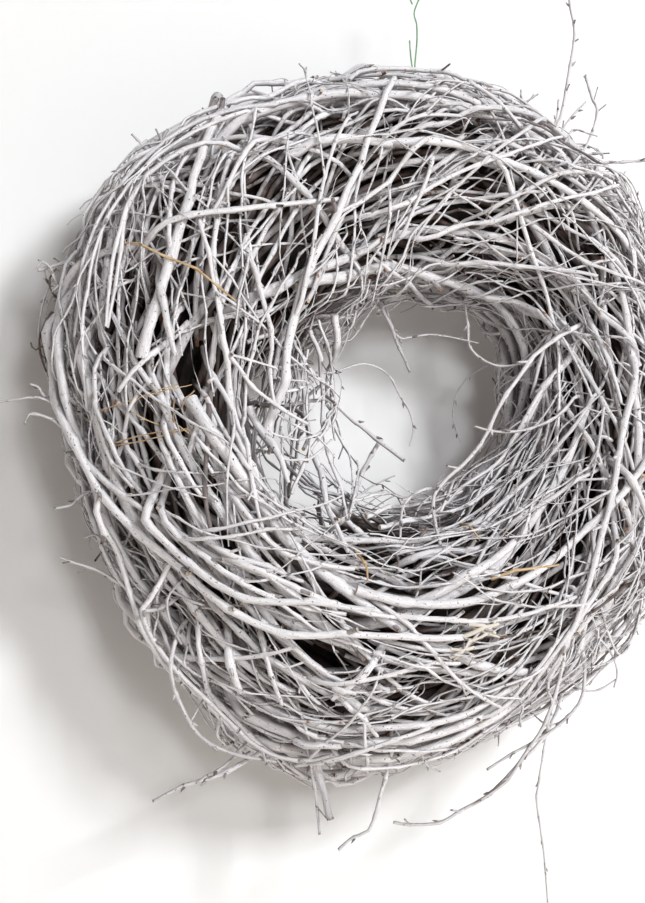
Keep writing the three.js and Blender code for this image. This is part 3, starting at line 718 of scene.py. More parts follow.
def add_twig(bundle, random, line, radius, kind, nodes, tone, paint, is_peeled=False):
    """Adds a twig along a dense line: its nodes, with their swelling and wear, its buds and stubs."""
    run = np.concatenate([[0], np.cumsum(line_steps(line))])
    node_places = np.interp(np.linspace(0, 1, nodes + 1), np.linspace(0, 1, len(line)), run)
    swelling = SWELLING[SHAPE_OF_KIND[kind.name]]
    spans = np.diff(node_places)
    places = [node_places[i] + spans[i] * part for i in range(nodes) for part in swelling]
    places.append(run[-1])
    bulge = np.array([share or 1 + kind.knob for share in swelling.values()] * nodes + [TIP_SWELLING])
    bulge[0] = 1.0
    points = np.stack([np.interp(places, run, line[:, axis]) for axis in range(3)], 1)
    thick = np.interp(places, run, radius)
    is_node = np.zeros(len(places), bool)
    is_node[::len(swelling)] = True
    jog = random.normal(0, POINT_STRAY, points.shape) * thick[:, None]
    points[1:-1] += jog[1:-1]
    bulge *= random.normal(1, THICKNESS_SPREAD, len(bulge))
    reach = np.interp(places, run, np.broadcast_to(paint, len(line)))
    wear = np.where(is_node, random.uniform(0, 1, len(places)) ** 2, EVEN_WEAR)
    wear[-1] = TIP_WEAR
    if is_peeled:
        wear[:] = PEELED
    bundle.add(points, thickness=thick * bulge, kind=KIND_NAMES.index(kind.name), tone=tone, wear=wear,
               paint=reach, along=np.asarray(places) + random.uniform(*GRAIN_START),
               roll=random.uniform(*ANY_ROLL))
    ahead = unit(np.gradient(points, axis=0))
    for i in np.flatnonzero(is_node)[1:]:
        draw = random.uniform()
        if i >= len(points) - 1 or draw > kind.buds + kind.stubs:
            continue
        sideways = unit(np.cross(ahead[i], random.normal(size=3)))
        sprout = {"tone": tone, "paint": reach[i] * random.uniform(BUD_PAINT, 1)}
        if draw < kind.buds:
            size = random.uniform(*BUD["sizes"])
            size *= BUD["least"] + BUD["growth"] * min(thick[i], BUD["limit"])
            way = unit(BUD["ahead"] * ahead[i] + BUD["sideways"] * sideways)
            roundness = THIN if thick[i] > BUD["round_from"] else FINE
            add_sprout(bundle, random, points[i] + sideways * thick[i] * BUD["out"], way,
                       BUD["length"] * size, BUD["shape"] * size, roundness, wear=BUD["wear"], **sprout)
        else:
            size = thick[i] * random.uniform(*STUB["sizes"])
            way = unit(STUB["ahead"] * ahead[i] + STUB["sideways"] * sideways)
            length = thick[i] + random.uniform(*STUB["length"])
            add_sprout(bundle, random, points[i], way, length, STUB["shape"] * size, kind,
                       wear=STUB["wear"], **sprout)


class Builder:
    """Lays twigs on the heap and gathers them by bunch."""

    def __init__(self, settings):
        self.random = np.random.default_rng(settings.seed)
        self.settings = settings
        self.heap = Heap(-HEART_DEPTH)
        self.bundles = [Bundle() for _ in range(BUNCHES)]

    def start_place(self, kind):
        """A place on the ring, drawn evenly over its surface, with fewer twigs at its back.

        The stouter twigs lie mostly in the heavy lower left of the ring, the thinner ones opposite.
        """
        light_end, heavy_end = ENDS_SHARE.get(kind, (1, 1))
        while True:
            angle, turn = self.random.uniform(0, 360, 2)
            per_angle, per_turn = pace(angle, turn)
            chance = per_angle * per_turn / LARGEST_CELL
            heaviness = 0.5 + 0.5 * math.cos(math.radians(angle - HEAVY_ANGLE))
            chance *= light_end + (heavy_end - light_end) * heaviness
            if BACK[0] < turn < BACK[1]:
                chance *= self.settings.back_share
            elif kind is STOUT and HOLE_SIDE[0] < turn < HOLE_SIDE[1]:
                chance *= self.settings.stout_share_at_hole
            if self.random.uniform() < chance:
                return angle, turn

    def course(self, kind, angle, turn, way, lean, size=1.0):
        """The stops of a twig's course round the tube, one at each node."""
        length = self.random.uniform(*kind.length) * size
        curl = self.random.normal(0, kind.sway * CURL_SHARE)
        bend = self.random.choice([-1, 1]) * kind.zigzag
        bow = kind.bow * self.random.uniform(*BOW_SPREAD)
        lean += 0.5 * bow * way * length / pace(angle, turn)[0] * math.sin(math.radians(turn))
        stops, run = [(angle, turn)], 0
        while run < length:
            step = self.random.uniform(*kind.internode)
            per_angle, per_turn = pace(angle, turn)
            heading = math.radians(lean)
            advance = way * step * math.cos(heading) / per_angle
            lean -= bow * advance * math.sin(math.radians(turn))
            angle += advance
            turn += way * step * math.sin(heading) / per_turn
            lean += self.random.normal(0, kind.sway) + curl + bend
            bend = -bend if len(stops) > 1 else -2 * bend
            stops.append((angle, turn))
            run += step
        return stops

    def settle(self, stops, kind, radius, taper=TIP_SHARE):
        """The dense course of a twig at rest on the heap."""
        samples = max(4, round(np.mean(kind.internode) / SAMPLE_LENGTH))
        dense = smooth_line(stops, samples)
        places = np.linspace(0, len(stops) - 1, len(dense))
        numbers = np.arange(len(stops))
        straight = np.stack([np.interp(places, numbers, axis) for axis in np.transpose(stops)], 1)
        angle, turn = (dense + (straight - dense) * STRAIGHTNESS).T
        thick = radius * np.linspace(1, taper, len(angle))
        stiffness = max(2, round((STIFFNESS + STIFFNESS * radius) / SAMPLE_LENGTH))
        height = self.heap.rest(angle, turn, thick, stiffness)
        return Twig(angle, turn, height, thick, kind, len(stops) - 1)

    def place(self, twig, bunch, tone, root_dive, tip_dive, lift=0.0, bare=1.0, arch=0.0,
              is_peeled=False):
        """Lowers a twig's ends into the heap, or lifts its tip or middle, and adds it to its bunch."""
        run = np.arange(len(twig.angle)) * SAMPLE_LENGTH
        length = run[-1]
        height = twig.height.copy()
        height -= root_dive * (1 - ease(run / (DIVE_RUN + DIVE_SLOPE * root_dive)))
        height -= tip_dive * (1 - ease((length - run) / (DIVE_RUN + DIVE_SLOPE * tip_dive)))
        height += lift * ease((run - LIFT_FROM * length) / ((1 - LIFT_FROM) * length)) ** 1.5
        height += arch * np.sin(np.pi * run / length)
        back = ease(1 - np.abs(np.mod(twig.turn, 360) - BACK_TURN) / BACK_REACH)
        height = height + (np.minimum(height, -twig.radius) - height) * back
        self.heap.lay(twig.angle, twig.turn, twig.radius, np.minimum(height, twig.height))
        twig = twig._replace(height=height, bunch=bunch, tone=tone)
        # Paint thins with depth under the surface: paint that didn't reach, and painted shade in the gaps.
        exposed = height + PAINT["loose"] * loose_share(twig.angle, twig.turn)
        paint_cover_and_shade = ease((exposed + PAINT["depth"]) / PAINT["fade"])
        paint = bare * (PAINT["least"] + (1 - PAINT["least"]) * paint_cover_and_shade)
        add_twig(self.bundles[bunch], self.random, on_heap(twig.angle, twig.turn, height),
                 twig.radius, twig.kind, twig.nodes, tone, paint, is_peeled)
        return twig

    def lay_twig(self, kind, ceiling, tries, cross_share, arch_share):
        """Lays one twig in the lowest of a few places, with its forks."""
        best = None
        radius = self.random.uniform(*kind.radius)
        for _ in range(tries):
            angle, turn = self.start_place(kind)
            way = 1 if self.random.uniform() < ONWARD_SHARE else -1
            is_cross = self.random.uniform() < cross_share
            mean_lean = float(round_ring(LEANS, angle))
            lean = self.random.normal(mean_lean, LEAN_SPREAD)
            if is_cross:
                lean = self.random.normal(CROSS_LEAN * mean_lean, CROSS_SPREAD)
            twig = self.settle(self.course(kind, angle, turn, way, lean), kind, radius)
            score = twig.height.mean() + PEAK_WEIGHT * twig.height.max()
            score += LOOSE_WEIGHT * loose_share(twig.angle, twig.turn).mean() * self.random.uniform()
            if best is None or score < best[0]:
                best = (score, twig)
        twig = best[1]
        if np.percentile(twig.height, MOST_OF_TWIG) > ceiling:
            return
        in_loose_part = SAMPLE_LENGTH * np.sum(loose_share(twig.angle, twig.turn) > LOOSE_FROM)
        longest = {**LONGEST_LOOSE, MEDIUM: self.random.uniform(*MEDIUM_LOOSE)}
        if in_loose_part > longest.get(kind, self.random.uniform(*THIN_LOOSE)):
            return
        tone = self.random.uniform()
        chance = self.random.uniform(size=3)
        root_dive = self.random.uniform(*ROOT["dive"]) if chance[0] < ROOT["share"] else ROOT["shallow"]
        tip_dive = self.random.uniform(*TIP["dive"]) if chance[1] < TIP["share"] else 0.0
        lift, bare, arch = 0.0, 1.0, 0.0
        if tip_dive == 0.0 and kind in (THIN, FINE) and chance[2] < TIP["lifted"]:
            lift = self.random.uniform(*TIP["lift"])
        if kind in (THIN, FINE) and self.random.uniform() < self.settings.bare_share:
            bare = self.random.uniform(*BARE_PAINT)
        if kind is not STOUT and self.random.uniform() < arch_share:
            arch = self.random.uniform(*ARCH)
        twig = self.place(twig, bunch_at(twig.angle[0]), tone, root_dive, tip_dive, lift, bare, arch)
        self.lay_forks(twig, bare)

    def lay_round(self, kind, setting, share, *limits):
        """Lays one round of twigs of a kind."""
        for _ in range(round(getattr(self.settings, setting) * share)):
            self.lay_twig(kind, *limits)

    def lay_forks(self, twig, bare=1.0):
        """Lays the thinner twigs that fork off at some nodes of a twig."""
        if twig.kind in (PACKED, FINE):
            return
        child = KINDS[KINDS.index(twig.kind) + 1]
        samples = (len(twig.angle) - 1) // twig.nodes
        for node in range(1, twig.nodes):
            at = node * samples
            looseness = loose_share(twig.angle[at], twig.turn[at])
            if self.random.uniform() > twig.kind.forks * (1 - FORK["fewer"] * looseness):
                continue
            per_angle, per_turn = pace(twig.angle[at], twig.turn[at])
            run = (twig.angle[at + 1] - twig.angle[at - 1]) * per_angle
            climb = (twig.turn[at + 1] - twig.turn[at - 1]) * per_turn
            way = 1 if run > 0 else -1
            lean = math.degrees(math.atan2(climb * way, run * way))
            lean += self.random.choice([-1, 1]) * self.random.uniform(*FORK["lean"])
            stops = self.course(child, twig.angle[at], twig.turn[at], way, lean, FORK["length"])
            radius = min(self.random.uniform(*child.radius), twig.radius[at] * FORK["radius"])
            fork = self.settle(stops, child, radius)
            run = np.arange(len(fork.angle)) * SAMPLE_LENGTH
            height = twig.height[at] + (fork.height - twig.height[at]) * ease(run / FORK["run"])
            fork = fork._replace(height=height)
            is_diving = self.random.uniform() < FORK["share"]
            tip_dive = self.random.uniform(*FORK["dive"]) if is_diving else 0.0
            lift = 0.0 if is_diving else self.random.uniform(*FORK["lift"])
            fork = self.place(fork, twig.bunch, twig.tone, 0.0, tip_dive, lift, bare)
            self.lay_forks(fork, bare)

    def lay_traced_twig(self, radius, stops, root_dive, tone=None, paint=1.0, is_peeled=False):
        """Lays a twig whose stops are given, close over the heap, from end to end."""
        kind = kind_of(radius)
        pairs = np.array(stops, float)
        gaps = np.diff(pairs, axis=0) * np.stack(pace(pairs[:-1, 0], pairs[:-1, 1]), 1)
        run = np.concatenate([[0], np.cumsum(np.hypot(*gaps.T))])
        nodes = max(2, round(run[-1] / np.mean(kind.internode)))
        dense = smooth_line(pairs, TRACED_SAMPLES)
        dense_run = np.interp(np.linspace(0, len(run) - 1, len(dense)), np.arange(len(run)), run)
        even = np.linspace(0, run[-1], nodes + 1)
        course = np.stack([np.interp(even, dense_run, dense[:, i]) for i in (0, 1)], 1)
        twig = self.settle(course, kind, radius, TRACED_TIP_SHARE)
        height = np.maximum(twig.height, FACE_FLOOR + twig.radius * TRACED_LOW)
        highest = FACE_FLOOR + TRACED_SPACE + TRACED_HIGH * twig.radius
        twig = twig._replace(height=np.minimum(height, highest))
        if tone is None:
            tone = self.random.uniform(*TRACED_TONE)
        twig = self.place(twig, bunch_at(twig.angle[0]), tone, root_dive, 0.0, bare=paint,
                          is_peeled=is_peeled)
        if paint == 1.0 and not is_peeled:
            self.lay_forks(twig)

    def grow_stray(self, radius, tip, root, path, bundle=None, paint=1.0):
        """Grows a stray twig out of the ring through free points, with its buds."""
        foot = on_heap(*root, -ROOT_DEPTH)
        surface = on_heap(*root, FACE_FLOOR)
        line = smooth_line(np.vstack([foot, surface, np.array(path, float)]), STRAY_SAMPLES)
        kind = kind_of(radius)
        nodes = max(2, round(line_steps(line).sum() / np.mean(kind.internode)))
        thick = np.linspace(radius, tip, len(line))
        reach = paint * np.linspace(1, TIP_PAINT, len(line))
        add_twig(bundle or self.bundles[bunch_at(root[0])], self.random, line, thick,
                 kind._replace(buds=STRAY_BUDS), nodes, self.random.uniform(*STRAY_TONE), reach)

    def grow_held_twig(self):
        """Grows the stout twig that the wire holds. Its nodes keep clear of the wire's bend."""
        nodes, samples = 4, 60
        share = np.linspace(0, 1, samples)
        angle = HANGER["root"] + (HANGER["tip"] - HANGER["root"]) * share
        dip = HANGER["dip"] * (1 - ease(HANGER["ends"] * np.minimum(share, 1 - share)))
        line = on_ring(angle, np.full(samples, HANGER["turn"]), HANGER["height"] - dip)
        thick = np.linspace(HANGER["radius"], HANGER["radius"] * HANGER["taper"], samples)
        add_twig(self.bundles[bunch_at(HANGER["root"])], self.random, line, thick,
                 STOUT._replace(buds=0, stubs=0), nodes, tone=0.8, paint=1.0)

    def build(self):
        """Lays the whole ring, and gives its bunches and the twigs across the hole."""
        for twig_round in ROUNDS:
            self.lay_round(*twig_round)
        for twigs, how in TRACED_TWIGS:
            for radius, stops in twigs:
                self.lay_traced_twig(radius, stops, **how)
        self.lay_round(*LAST_ROUND)
        self.grow_held_twig()
        for stray in STRAY_TWIGS:
            self.grow_stray(*stray)
        for stray in BARE_STRAYS:
            self.grow_stray(*stray, paint=BARE_STRAY_PAINT)
        across = Bundle()
        for stray in HOLE_TWIGS:
            self.grow_stray(*stray, across)
        return self.bundles, across


# The inputs of the tree that draws the twigs: the type and the value of each. The bark is made later.
# A knobble's height is a share of the twig's radius for a full swing of the noise.
TREE_INPUTS = {
    **{f"Sides of {kind.name} twigs": ("NodeSocketInt", kind.sides) for kind in KINDS},
    "Knobble Share": ("NodeSocketFloat", 0.4),
    "Knobbles per Metre": ("NodeSocketFloat", 170.0),
    "Bark": ("NodeSocketMaterial", None),
}
# The attributes that the tree reads, which the finished mesh doesn't need.
LINE_ATTRIBUTES = {"kind": "INT", "roll": "FLOAT", "thickness": "FLOAT", "along": "FLOAT",
                   "end": "FLOAT", "around": "FLOAT_VECTOR"}


def twig_tree():
    """The node tree that draws a round, capped twig along each line of a mesh of edges."""
    tree = bpy.data.node_groups.new("Twigs Along Lines", "GeometryNodeTree")
    tree.interface.new_socket("Lines", in_out="INPUT", socket_type="NodeSocketGeometry")
    sockets = {name: tree.interface.new_socket(name, in_out="INPUT", socket_type=form).identifier
               for name, (form, _) in TREE_INPUTS.items()}
    tree.interface.new_socket("Twigs", in_out="OUTPUT", socket_type="NodeSocketGeometry")
    given = add_node(tree, "NodeGroupInput").outputs
    kept = {name: add_node(tree, "GeometryNodeInputNamedAttribute", {"Name": name}, data_type=form)
            for name, form in LINE_ATTRIBUTES.items()}
    spot = add_node(tree, "GeometryNodeInputPosition")

    joined = add_node(tree, "GeometryNodeJoinGeometry")
    for number, kind in enumerate(KINDS):
        chosen = add_node(tree, "FunctionNodeCompare", {2: kept["kind"], 3: number},
                          data_type="INT", operation="EQUAL")
        lines = add_node(tree, "GeometryNodeSeparateGeometry",
                         {"Geometry": given["Lines"], "Selection": chosen}, domain="POINT")
        curve = add_node(tree, "GeometryNodeMeshToCurve", {"Mesh": lines})
        rolled = add_node(tree, "GeometryNodeSetCurveTilt", {"Curve": curve, "Tilt": kept["roll"]})
        section = add_node(tree, "GeometryNodeCurvePrimitiveCircle",
                           {"Resolution": given[f"Sides of {kind.name} twigs"], "Radius": 1.0})
        marked = add_node(tree, "GeometryNodeStoreNamedAttribute",
                          {"Geometry": section, "Name": "around", "Value": spot},
                          data_type="FLOAT_VECTOR", domain="POINT")
        ends = add_node(tree, "GeometryNodeCurveEndpointSelection")
        ended = add_node(tree, "GeometryNodeStoreNamedAttribute",
                         {"Geometry": rolled, "Name": "end", "Value": ends},
                         data_type="FLOAT", domain="POINT")
        tube = add_node(tree, "GeometryNodeCurveToMesh",
                        {"Curve": ended, "Profile Curve": marked, "Scale": kept["thickness"],
                         "Fill Caps": True})
        tree.links.new(tube.outputs[0], joined.inputs[0])

    noise = add_node(tree, "ShaderNodeTexNoise",
                     {"Vector": spot, "Scale": given["Knobbles per Metre"], "Detail": 2.0})
    centred = add_node(tree, "ShaderNodeMath", {0: noise, 1: 0.5}, operation="SUBTRACT")
    shared = add_node(tree, "ShaderNodeMath", {0: centred, 1: given["Knobble Share"]},
                      operation="MULTIPLY")
    sized = add_node(tree, "ShaderNodeMath", {0: shared, 1: kept["thickness"]}, operation="MULTIPLY")
    outward = add_node(tree, "GeometryNodeInputNormal")
    push = add_node(tree, "ShaderNodeVectorMath", {0: outward, "Scale": sized}, operation="SCALE")
    knobbled = add_node(tree, "GeometryNodeSetPosition", {"Geometry": joined, "Offset": push})

    # The grain is a place in the twig's own wood, in millimetres across it and along it.
    thick = add_node(tree, "ShaderNodeMath", {0: kept["thickness"], 1: 1 / MM}, operation="MULTIPLY")
    around = add_node(tree, "ShaderNodeVectorMath", {0: kept["around"], "Scale": thick},
                      operation="SCALE")
    lengthwise = add_node(tree, "ShaderNodeCombineXYZ", {"Z": kept["along"]})
    grain = add_node(tree, "ShaderNodeVectorMath", {0: around, 1: lengthwise}, operation="ADD")
    grained = add_node(tree, "GeometryNodeStoreNamedAttribute",
                       {"Geometry": knobbled, "Name": "grain", "Value": grain},
                       data_type="FLOAT_VECTOR", domain="POINT")
    # A face is a cut when all its points lie at a twig's end.
    is_cut = add_node(tree, "FunctionNodeCompare", {0: kept["end"], 1: 0.95},
                      data_type="FLOAT", operation="GREATER_THAN")
    cut = add_node(tree, "GeometryNodeStoreNamedAttribute",
                   {"Geometry": grained, "Name": "cut", "Value": is_cut},
                   data_type="FLOAT", domain="FACE")
    real = add_node(tree, "GeometryNodeRealizeInstances", {"Geometry": cut})
    dressed = add_node(tree, "GeometryNodeSetMaterial", {"Geometry": real, "Material": given["Bark"]})
    add_node(tree, "NodeGroupOutput", {"Twigs": dressed})
    return tree, sockets


def make_plain(piece):
    """Turns what a piece's modifiers make into its own mesh, and removes them."""
    graph = bpy.context.evaluated_depsgraph_get()
    made = bpy.data.meshes.new_from_object(
        piece.evaluated_get(graph), preserve_all_data_layers=True, depsgraph=graph)
    piece.modifiers.clear()
    lines = piece.data
    piece.data = made
    bpy.data.meshes.remove(lines)
    for name in LINE_ATTRIBUTES:
        if name in made.attributes:
            made.attributes.remove(made.attributes[name])
    made.name = piece.name


def new_object(name, data):
    """An object of a name, in the scene."""
    made = bpy.data.objects.new(name, data)
    bpy.context.scene.collection.objects.link(made)
    return made


def mesh_object(name, points, faces, material):
    """A mesh object from points and faces, with one material."""
    mesh = bpy.data.meshes.new(name)
    mesh.from_pydata([tuple(p) for p in points], [], [tuple(f) for f in faces])
    mesh.materials.append(material)
    return new_object(name, mesh)


def new_material(name):
    """An empty node material and its tree."""
    material = bpy.data.materials.new(name)
    material.use_nodes = True
    material.node_tree.nodes.clear()
    return material, material.node_tree


def whitewashed_bark(finish):
    """Birch twigs under thin matt white spray paint.

    The eye sees an even off-white. It is greyer where the paint is thin, in faint streaks along the
    grain. The side that faces into the ring is greyer and barer, partly as thinner spray and partly
    as painted shade that gives each twig a lit and a shaded side. Brown bark shows in pores, at worn
    nodes, on the twigs that the paint missed and on those deep inside, where it is also painted shade
    in the gaps. Cut ends show tan wood.
    """
    material, tree = new_material("whitewashed_birch_bark")
    grain = add_node(tree, "ShaderNodeAttribute", attribute_name="grain").outputs["Vector"]
    tone, wear, reach, cut = (add_node(tree, "ShaderNodeAttribute", attribute_name=name).outputs["Fac"]
                              for name in ("tone", "wear", "paint", "cut"))
    # Streaks in the paint are 1 mm wide and 7 mm long. The bark is lighter and darker by patches 6 mm
    # wide and 14 mm long, and its pores are spots 1 to 2 mm long. Real pores are half as long, and
    # wouldn't show.
    streak_place = add_node(tree, "ShaderNodeMapping", {"Vector": grain, "Scale": (0.9, 0.9, 0.14)})
    streak = add_node(tree, "ShaderNodeTexNoise",
                      {"Vector": streak_place, "Scale": 1.0, "Detail": 4.0, "Roughness": 0.6})
    patch_place = add_node(tree, "ShaderNodeMapping", {"Vector": grain, "Scale": (0.16, 0.16, 0.07)})
    patch = add_node(tree, "ShaderNodeTexNoise", {"Vector": patch_place, "Scale": 1.0, "Detail": 3.0})
    pore_place = add_node(tree, "ShaderNodeMapping", {"Vector": grain, "Scale": (0.9, 0.9, 0.55)})
    pore = add_node(tree, "ShaderNodeTexNoise", {"Vector": pore_place, "Scale": 1.0, "Detail": 2.0})
    patchy = add_node(tree, "ShaderNodeMapRange", {"Value": patch, "From Min": 0.35, "From Max": 0.65},
                      interpolation_type="SMOOTHSTEP")
    streaky = add_node(tree, "ShaderNodeMapRange", {"Value": streak, "From Min": 0.32, "From Max": 0.6},
                       interpolation_type="SMOOTHSTEP")
    # Paint from a spray outside lies thickest on the side of a twig that faces out of the
    # ring: away from the circle that runs through the middle of its tube. The greyer, barer side that
    # faces into the ring is also painted shade.
    place = add_node(tree, "ShaderNodeTexCoord").outputs["Object"]
    from_middle = add_node(tree, "ShaderNodeVectorMath", {0: place, 1: tuple(-RING_CENTRE * MM)},
                           operation="ADD")
    in_plane = add_node(tree, "ShaderNodeVectorMath", {0: from_middle, 1: (1.0, 0.0, 1.0)},
                        operation="MULTIPLY")
    towards = add_node(tree, "ShaderNodeVectorMath", {0: in_plane}, operation="NORMALIZE")
    on_circle = add_node(tree, "ShaderNodeVectorMath",
                         {0: towards, "Scale": float(np.mean(RING_RADIUS)) * MM}, operation="SCALE")
    out_of = add_node(tree, "ShaderNodeVectorMath", {0: from_middle, 1: on_circle},
                      operation="SUBTRACT")
    out_way = add_node(tree, "ShaderNodeVectorMath", {0: out_of}, operation="NORMALIZE")
    facing = add_node(tree, "ShaderNodeNewGeometry").outputs["Normal"]
    outward = add_node(tree, "ShaderNodeVectorMath", {0: facing, 1: out_way},
                       operation="DOT_PRODUCT").outputs["Value"]
    outward_spray_and_shade = add_node(tree, "ShaderNodeMapRange",
                       {"Value": outward, "From Min": -0.75, "From Max": 0.4},
                       interpolation_type="SMOOTHSTEP")
    # Thick paint is a sum of what falls on the twig with the painted shade of its inner side, its own
    # luck and its streaks.
    of_twig = add_node(tree, "ShaderNodeMath", {0: tone, 1: 0.3}, operation="MULTIPLY")
    of_spray_and_shade = add_node(tree, "ShaderNodeMath", {0: outward_spray_and_shade, 1: 0.35, 2: of_twig},
                        operation="MULTIPLY_ADD")
    thickness = add_node(tree, "ShaderNodeMath", {0: streaky, 1: 0.35, 2: of_spray_and_shade},
                         operation="MULTIPLY_ADD")
    painted = add_node(tree, "ShaderNodeMix",
                       {0: thickness, 6: finish.grey_paint_and_shade, 7: finish.white_paint},
                       data_type="RGBA").outputs[2]
    bark = add_node(tree, "ShaderNodeMix", {0: patchy, 6: finish.dark_bark, 7: finish.bark},
                    data_type="RGBA").outputs[2]
    # A node's wear breaks up into spots, and pores are pin holes in the paint.
    worn = add_node(tree, "ShaderNodeMapRange", {"Value": wear, "From Min": 0.45, "From Max": 0.95},
                    interpolation_type="SMOOTHSTEP")
    spotty = add_node(tree, "ShaderNodeMapRange", {"Value": pore, "From Min": 0.48, "From Max": 0.58},
                      interpolation_type="SMOOTHSTEP")
    worn_spot = add_node(tree, "ShaderNodeMath", {0: worn, 1: spotty}, operation="MULTIPLY")
    pin_hole = add_node(tree, "ShaderNodeMapRange", {"Value": pore, "From Min": 0.655, "From Max": 0.72},
                        interpolation_type="SMOOTHSTEP")
    gap = add_node(tree, "ShaderNodeMath", {0: worn_spot, 1: pin_hole}, operation="MAXIMUM")
    left = add_node(tree, "ShaderNodeMath", {0: reach, 1: gap}, operation="SUBTRACT", use_clamp=True)
    # Less paint covers the side facing into the ring: thinner spray, and painted shade.
    spray_and_shade_share = add_node(tree, "ShaderNodeMapRange", {"Value": outward_spray_and_shade, "To Min": 0.7, "To Max": 1.0})
    paint_cover_and_shade = add_node(tree, "ShaderNodeMath", {0: left, 1: spray_and_shade_share}, operation="MULTIPLY")
    body = add_node(tree, "ShaderNodeMix", {0: paint_cover_and_shade, 6: bark, 7: painted},
                    data_type="RGBA").outputs[2]
    # Every third twig has russet bud scales, the others dark ones.
    is_russet = add_node(tree, "ShaderNodeMath", {0: tone, 1: 0.35}, operation="LESS_THAN")
    russet_spot = add_node(tree, "ShaderNodeMath", {0: worn_spot, 1: is_russet}, operation="MULTIPLY")
    scaled = add_node(tree, "ShaderNodeMix", {0: russet_spot, 6: body, 7: finish.russet},
                      data_type="RGBA").outputs[2]
    # Wood shows at cut ends, and all over a stick that has lost its bark.
    cut_share = add_node(tree, "ShaderNodeMapRange", {"Value": tone, "To Min": 1.0, "To Max": 0.35})
    cut_wood = add_node(tree, "ShaderNodeMath", {0: cut, 1: cut_share}, operation="MULTIPLY")
    peeled = add_node(tree, "ShaderNodeMapRange", {"Value": wear, "From Min": 1.2, "From Max": 1.6})
    wood_share = add_node(tree, "ShaderNodeMath", {0: cut_wood, 1: peeled}, operation="MAXIMUM")
    grained = add_node(tree, "ShaderNodeMix", {0: streaky, 6: finish.old_wood, 7: finish.cut_wood},
                       data_type="RGBA").outputs[2]
    fresh = add_node(tree, "ShaderNodeMath", {0: tone, 1: 3.0}, operation="POWER")
    wood = add_node(tree, "ShaderNodeMix", {0: fresh, 6: grained, 7: finish.torn_wood},
                    data_type="RGBA").outputs[2]
    colour = add_node(tree, "ShaderNodeMix", {0: wood_share, 6: scaled, 7: wood},
                      data_type="RGBA").outputs[2]
    rough = add_node(tree, "ShaderNodeMapRange", {"Value": paint_cover_and_shade, "To Min": 0.62, "To Max": 0.9})
    relief = add_node(tree, "ShaderNodeMath", {0: pore, 1: 0.6, 2: streak}, operation="MULTIPLY_ADD")
    bump = add_node(tree, "ShaderNodeBump", {"Height": relief, "Strength": 0.6, "Distance": 0.6 * MM})
    shader = add_node(tree, "ShaderNodeBsdfPrincipled",
                      {"Base Color": colour, "Roughness": rough, "Specular IOR Level": 0.3,
                       "Normal": bump})
    add_node(tree, "ShaderNodeOutputMaterial", {"Surface": shader})
    return material


def bark_in_painted_shade(finish):
    """Bare bark of the twigs packed inside, where no paint reached, darkened to a nearly black brown that
    is also painted shade in the gaps.
    """
    material, tree = new_material("bare_bark_inside")
    place = add_node(tree, "ShaderNodeTexCoord").outputs["Object"]
    # Patches are 6 mm across, as wide as two twigs.
    patches = add_node(tree, "ShaderNodeTexNoise", {"Vector": place, "Scale": 160.0, "Detail": 5.0})
    share = add_node(tree, "ShaderNodeMapRange", {"Value": patches, "From Min": 0.35, "From Max": 0.7},
                     interpolation_type="SMOOTHSTEP")
    colour = add_node(tree, "ShaderNodeMix", {0: share, 6: finish.inside_bark_and_shade, 7: finish.dark_bark},
                      data_type="RGBA").outputs[2]
    bump = add_node(tree, "ShaderNodeBump", {"Height": patches, "Strength": 0.8, "Distance": 2 * MM})
    shader = add_node(tree, "ShaderNodeBsdfPrincipled",
                      {"Base Color": colour, "Roughness": 0.9, "Normal": bump})
    add_node(tree, "ShaderNodeOutputMaterial", {"Surface": shader})
    return material


def lacquered_wire(finish):
    """Soft iron wire in green lacquer: a satin skin that is a little paler where it was bent."""
    material, tree = new_material("green_lacquered_iron_wire")
    place = add_node(tree, "ShaderNodeTexCoord").outputs["Object"]
    # Paler patches are 4 mm long, as the bends are.
    patches = add_node(tree, "ShaderNodeTexNoise", {"Vector": place, "Scale": 240.0, "Detail": 3.0})
    share = add_node(tree, "ShaderNodeMapRange", {"Value": patches, "From Min": 0.4, "From Max": 0.7},
                     interpolation_type="SMOOTHSTEP")
    colour = add_node(tree, "ShaderNodeMix", {0: share, 6: finish.lacquer, 7: finish.pale_lacquer},
                      data_type="RGBA").outputs[2]
    rough = add_node(tree, "ShaderNodeMapRange", {"Value": patches, "To Min": 0.35, "To Max": 0.55})
    shader = add_node(tree, "ShaderNodeBsdfPrincipled",
                      {"Base Color": colour, "Roughness": rough, "Coat Weight": 0.2})
    add_node(tree, "ShaderNodeOutputMaterial", {"Surface": shader})
    return material


def wall_paint(name, colour, open_back=False):
    """Matt wall paint: a flat, even tone. An open back lets light and sight through."""
    material, tree = new_material(name)
    place = add_node(tree, "ShaderNodeTexCoord").outputs["Object"]
    # A roller leaves patches 0.2 m wide that hardly differ.
    patches = add_node(tree, "ShaderNodeTexNoise", {"Vector": place, "Scale": 5.0, "Detail": 3.0})
    dimmed = tuple(channel * 0.985 for channel in colour[:3]) + (1.0,)
    mixed = add_node(tree, "ShaderNodeMix", {0: patches, 6: tuple(colour), 7: dimmed},
                     data_type="RGBA").outputs[2]
    skin = add_node(tree, "ShaderNodeBsdfPrincipled",
                    {"Base Color": mixed, "Roughness": 0.9, "Specular IOR Level": 0.2})
    if open_back:
        behind = add_node(tree, "ShaderNodeNewGeometry").outputs["Backfacing"]
        clear = add_node(tree, "ShaderNodeBsdfTransparent")
        skin = add_node(tree, "ShaderNodeMixShader", {0: behind, 1: skin, 2: clear})
    add_node(tree, "ShaderNodeOutputMaterial", {"Surface": skin})
    return material


